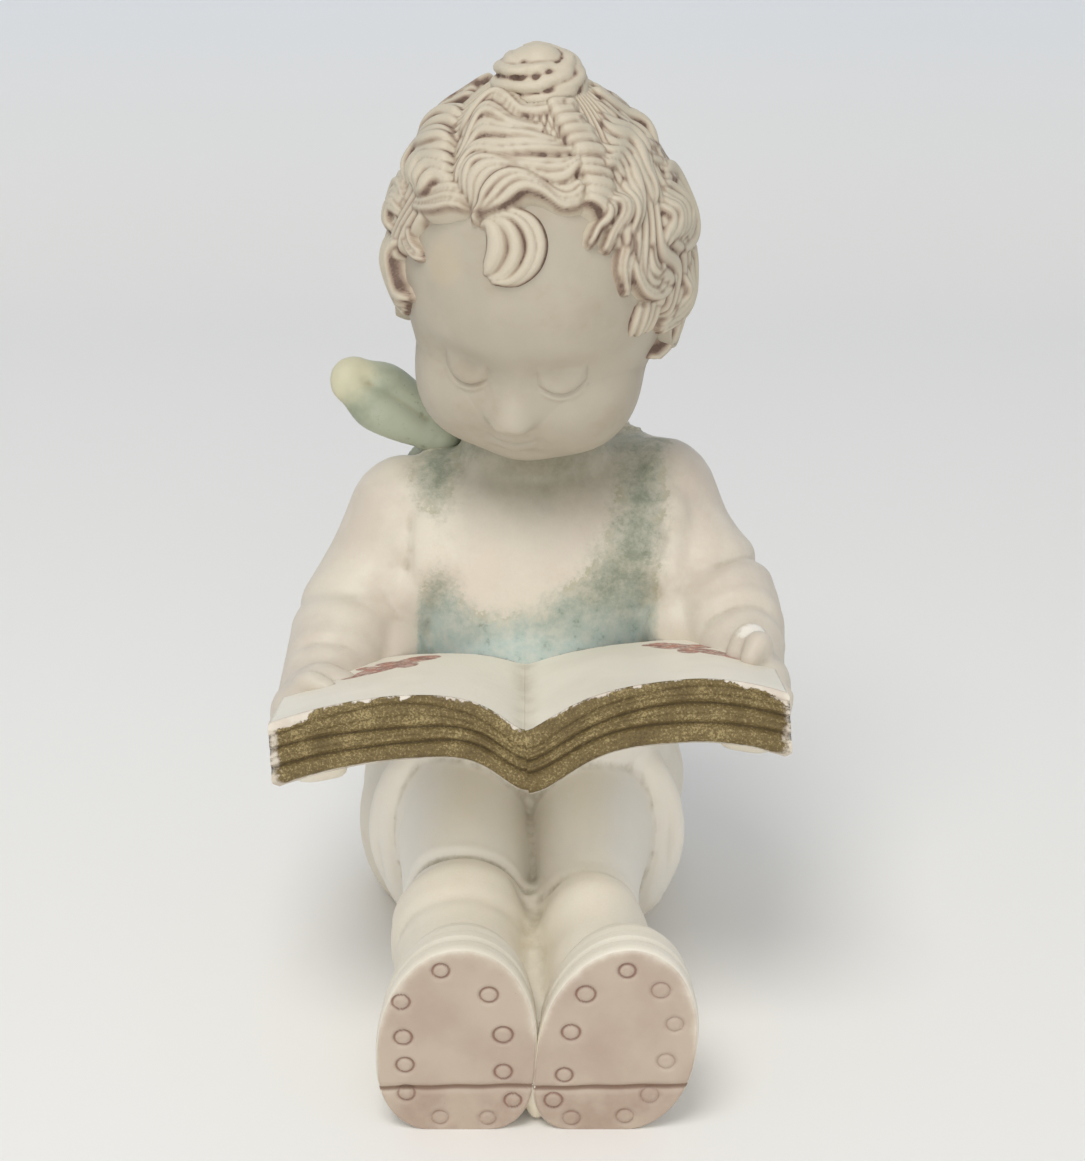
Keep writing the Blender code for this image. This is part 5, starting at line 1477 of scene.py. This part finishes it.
skinPaint = skinMaterial()
hairPaint = hairMaterial()
skin = headForm()
fromHead = unit((skin[0] - np.array(head["middle"])) @ head["turn"])
spotted = bump(np.arccos(np.clip(fromHead @ toward(*head["stain"][:2]), -1, 1)), head["stain"][2])
makePiece("headSkin", outward(skin), skinPaint,
          {"hollow": hollowness(*outward(skin), spread=5), "spotted": spotted})
for side, name in ((-1, "leftEar"), (1, "rightEar")):
    skin = outward(earForm(side))
    makePiece(name, skin, skinPaint,
              {"hollow": hollowness(*skin), "spotted": np.zeros(len(skin[0]))})
skin, layers = hairForm()
makePiece("carvedHair", outward(skin), hairPaint, layers)
skin, layers = topknotForm()
makePiece("topknot", outward(skin), hairPaint, layers)
skin, layers = bodyForm()
makePiece("childInRomper", outward(skin), bodyMaterial(), layers)
skin, layers = bowForm()
makePiece("shoulderBow", outward(skin), bowMaterial(), layers)
skin, layers = bookForm()
makePiece("openBook", outward(skin), bookMaterial(), layers)
shoePaint = shoeMaterial()
for side, name in ((-1, "leftShoe"), (1, "rightShoe")):
    skin, layers = shoeForm(side)
    makePiece(name, outward(skin), shoePaint, layers)


# Floor, backdrop, light and camera

studio = {
    "floor": linear(244, 242, 238), "backdrop": linear(228, 235, 244),
    "sweepStart": 0.34, "sweepRadius": 0.30, "wallHeight": 1.2, "reach": 1.6,
    "cameraPlace": (0.0008, -0.401, 0.206), "cameraPitch": 20.7,
    "focalPixels": 2749.0, "imageHeight": 1161, "sensor": 36,
    "lamps": {  # place, what it points at, size, power and colour
        "softTop": ((-0.15, -0.42, 0.82), (0, -0.03, 0.04), 0.45, 3.3, (1.0, 0.985, 0.95)),
        "softFront": ((0.0, -1.15, 0.22), (0, 0, 0.04), 0.8, 4.2, (1.0, 0.985, 0.955))},
    "air": (0.95, 0.97, 1.0), "airStrength": 0.52,
}


def studioSweep():
    # floor and backdrop as one sheet: flat, a quarter turn, then upright
    bend = np.radians(np.linspace(0, 90, 24))
    radius, start = studio["sweepRadius"], studio["sweepStart"]
    y = np.concatenate([[-1.4, -0.6, 0.0], start + radius * np.sin(bend), [start + radius]])
    z = np.concatenate([[0, 0, 0], radius * (1 - np.cos(bend)), [studio["wallHeight"]]])
    x = np.linspace(-studio["reach"], studio["reach"], 9)
    gx, gy = np.meshgrid(x, y)
    gz = np.broadcast_to(z[:, None], gx.shape)
    points = np.stack([gx, gy, gz], -1).reshape(-1, 3)
    rows, columns = gx.shape
    i, j = np.meshgrid(np.arange(rows - 1), np.arange(columns - 1), indexing="ij")
    a = (i * columns + j).ravel()
    mesh = bpy.data.meshes.new("studioSweep")
    fillMesh(mesh, points, np.stack([a, a + 1, a + columns + 1, a + columns], -1),
             np.zeros((0, 3), int))
    sweepPiece = bpy.data.objects.new("studioSweep", mesh)
    bpy.context.scene.collection.objects.link(sweepPiece)
    paint = Paint("palePaper")
    height = paint.node("ShaderNodeSeparateXYZ", {}, {"Vector": paint.place}, "Z")
    tone = paint.mix(height.ramp(0.0, 0.12), studio["floor"], studio["backdrop"])
    mesh.materials.append(paint.finish(tone, 0.8))


def addArea(name, place, target, size, power, colour):
    light = bpy.data.lights.new(name, "AREA")
    light.shape, light.size, light.energy, light.color = "DISK", size, power, colour
    lamp = bpy.data.objects.new(name, light)
    bpy.context.scene.collection.objects.link(lamp)
    lamp.location = place
    lamp.rotation_euler = (Vector(target) - Vector(place)).to_track_quat("-Z", "Y").to_euler()


studioSweep()
for name, lamp in studio["lamps"].items():
    addArea(name, *lamp)
world = bpy.data.worlds.new("studioAir")
bpy.context.scene.world = world
world.use_nodes = True
air = world.node_tree.nodes["Background"].inputs
air["Color"].default_value = (*studio["air"], 1)
air["Strength"].default_value = studio["airStrength"]

camera = bpy.data.cameras.new("camera")
camera.sensor_fit = "AUTO"
camera.sensor_width = studio["sensor"]
camera.lens = studio["focalPixels"] * studio["sensor"] / studio["imageHeight"]
camera.clip_start, camera.clip_end = 0.01, 10
eye = bpy.data.objects.new("camera", camera)
bpy.context.scene.collection.objects.link(eye)
eye.location = studio["cameraPlace"]
eye.rotation_euler = (math.radians(90 - studio["cameraPitch"]), 0, 0)
bpy.context.scene.camera = eye

scene = bpy.context.scene
scene.view_settings.view_transform = "Standard"
scene.view_settings.look = "None"

bpy.context.view_layer.update()
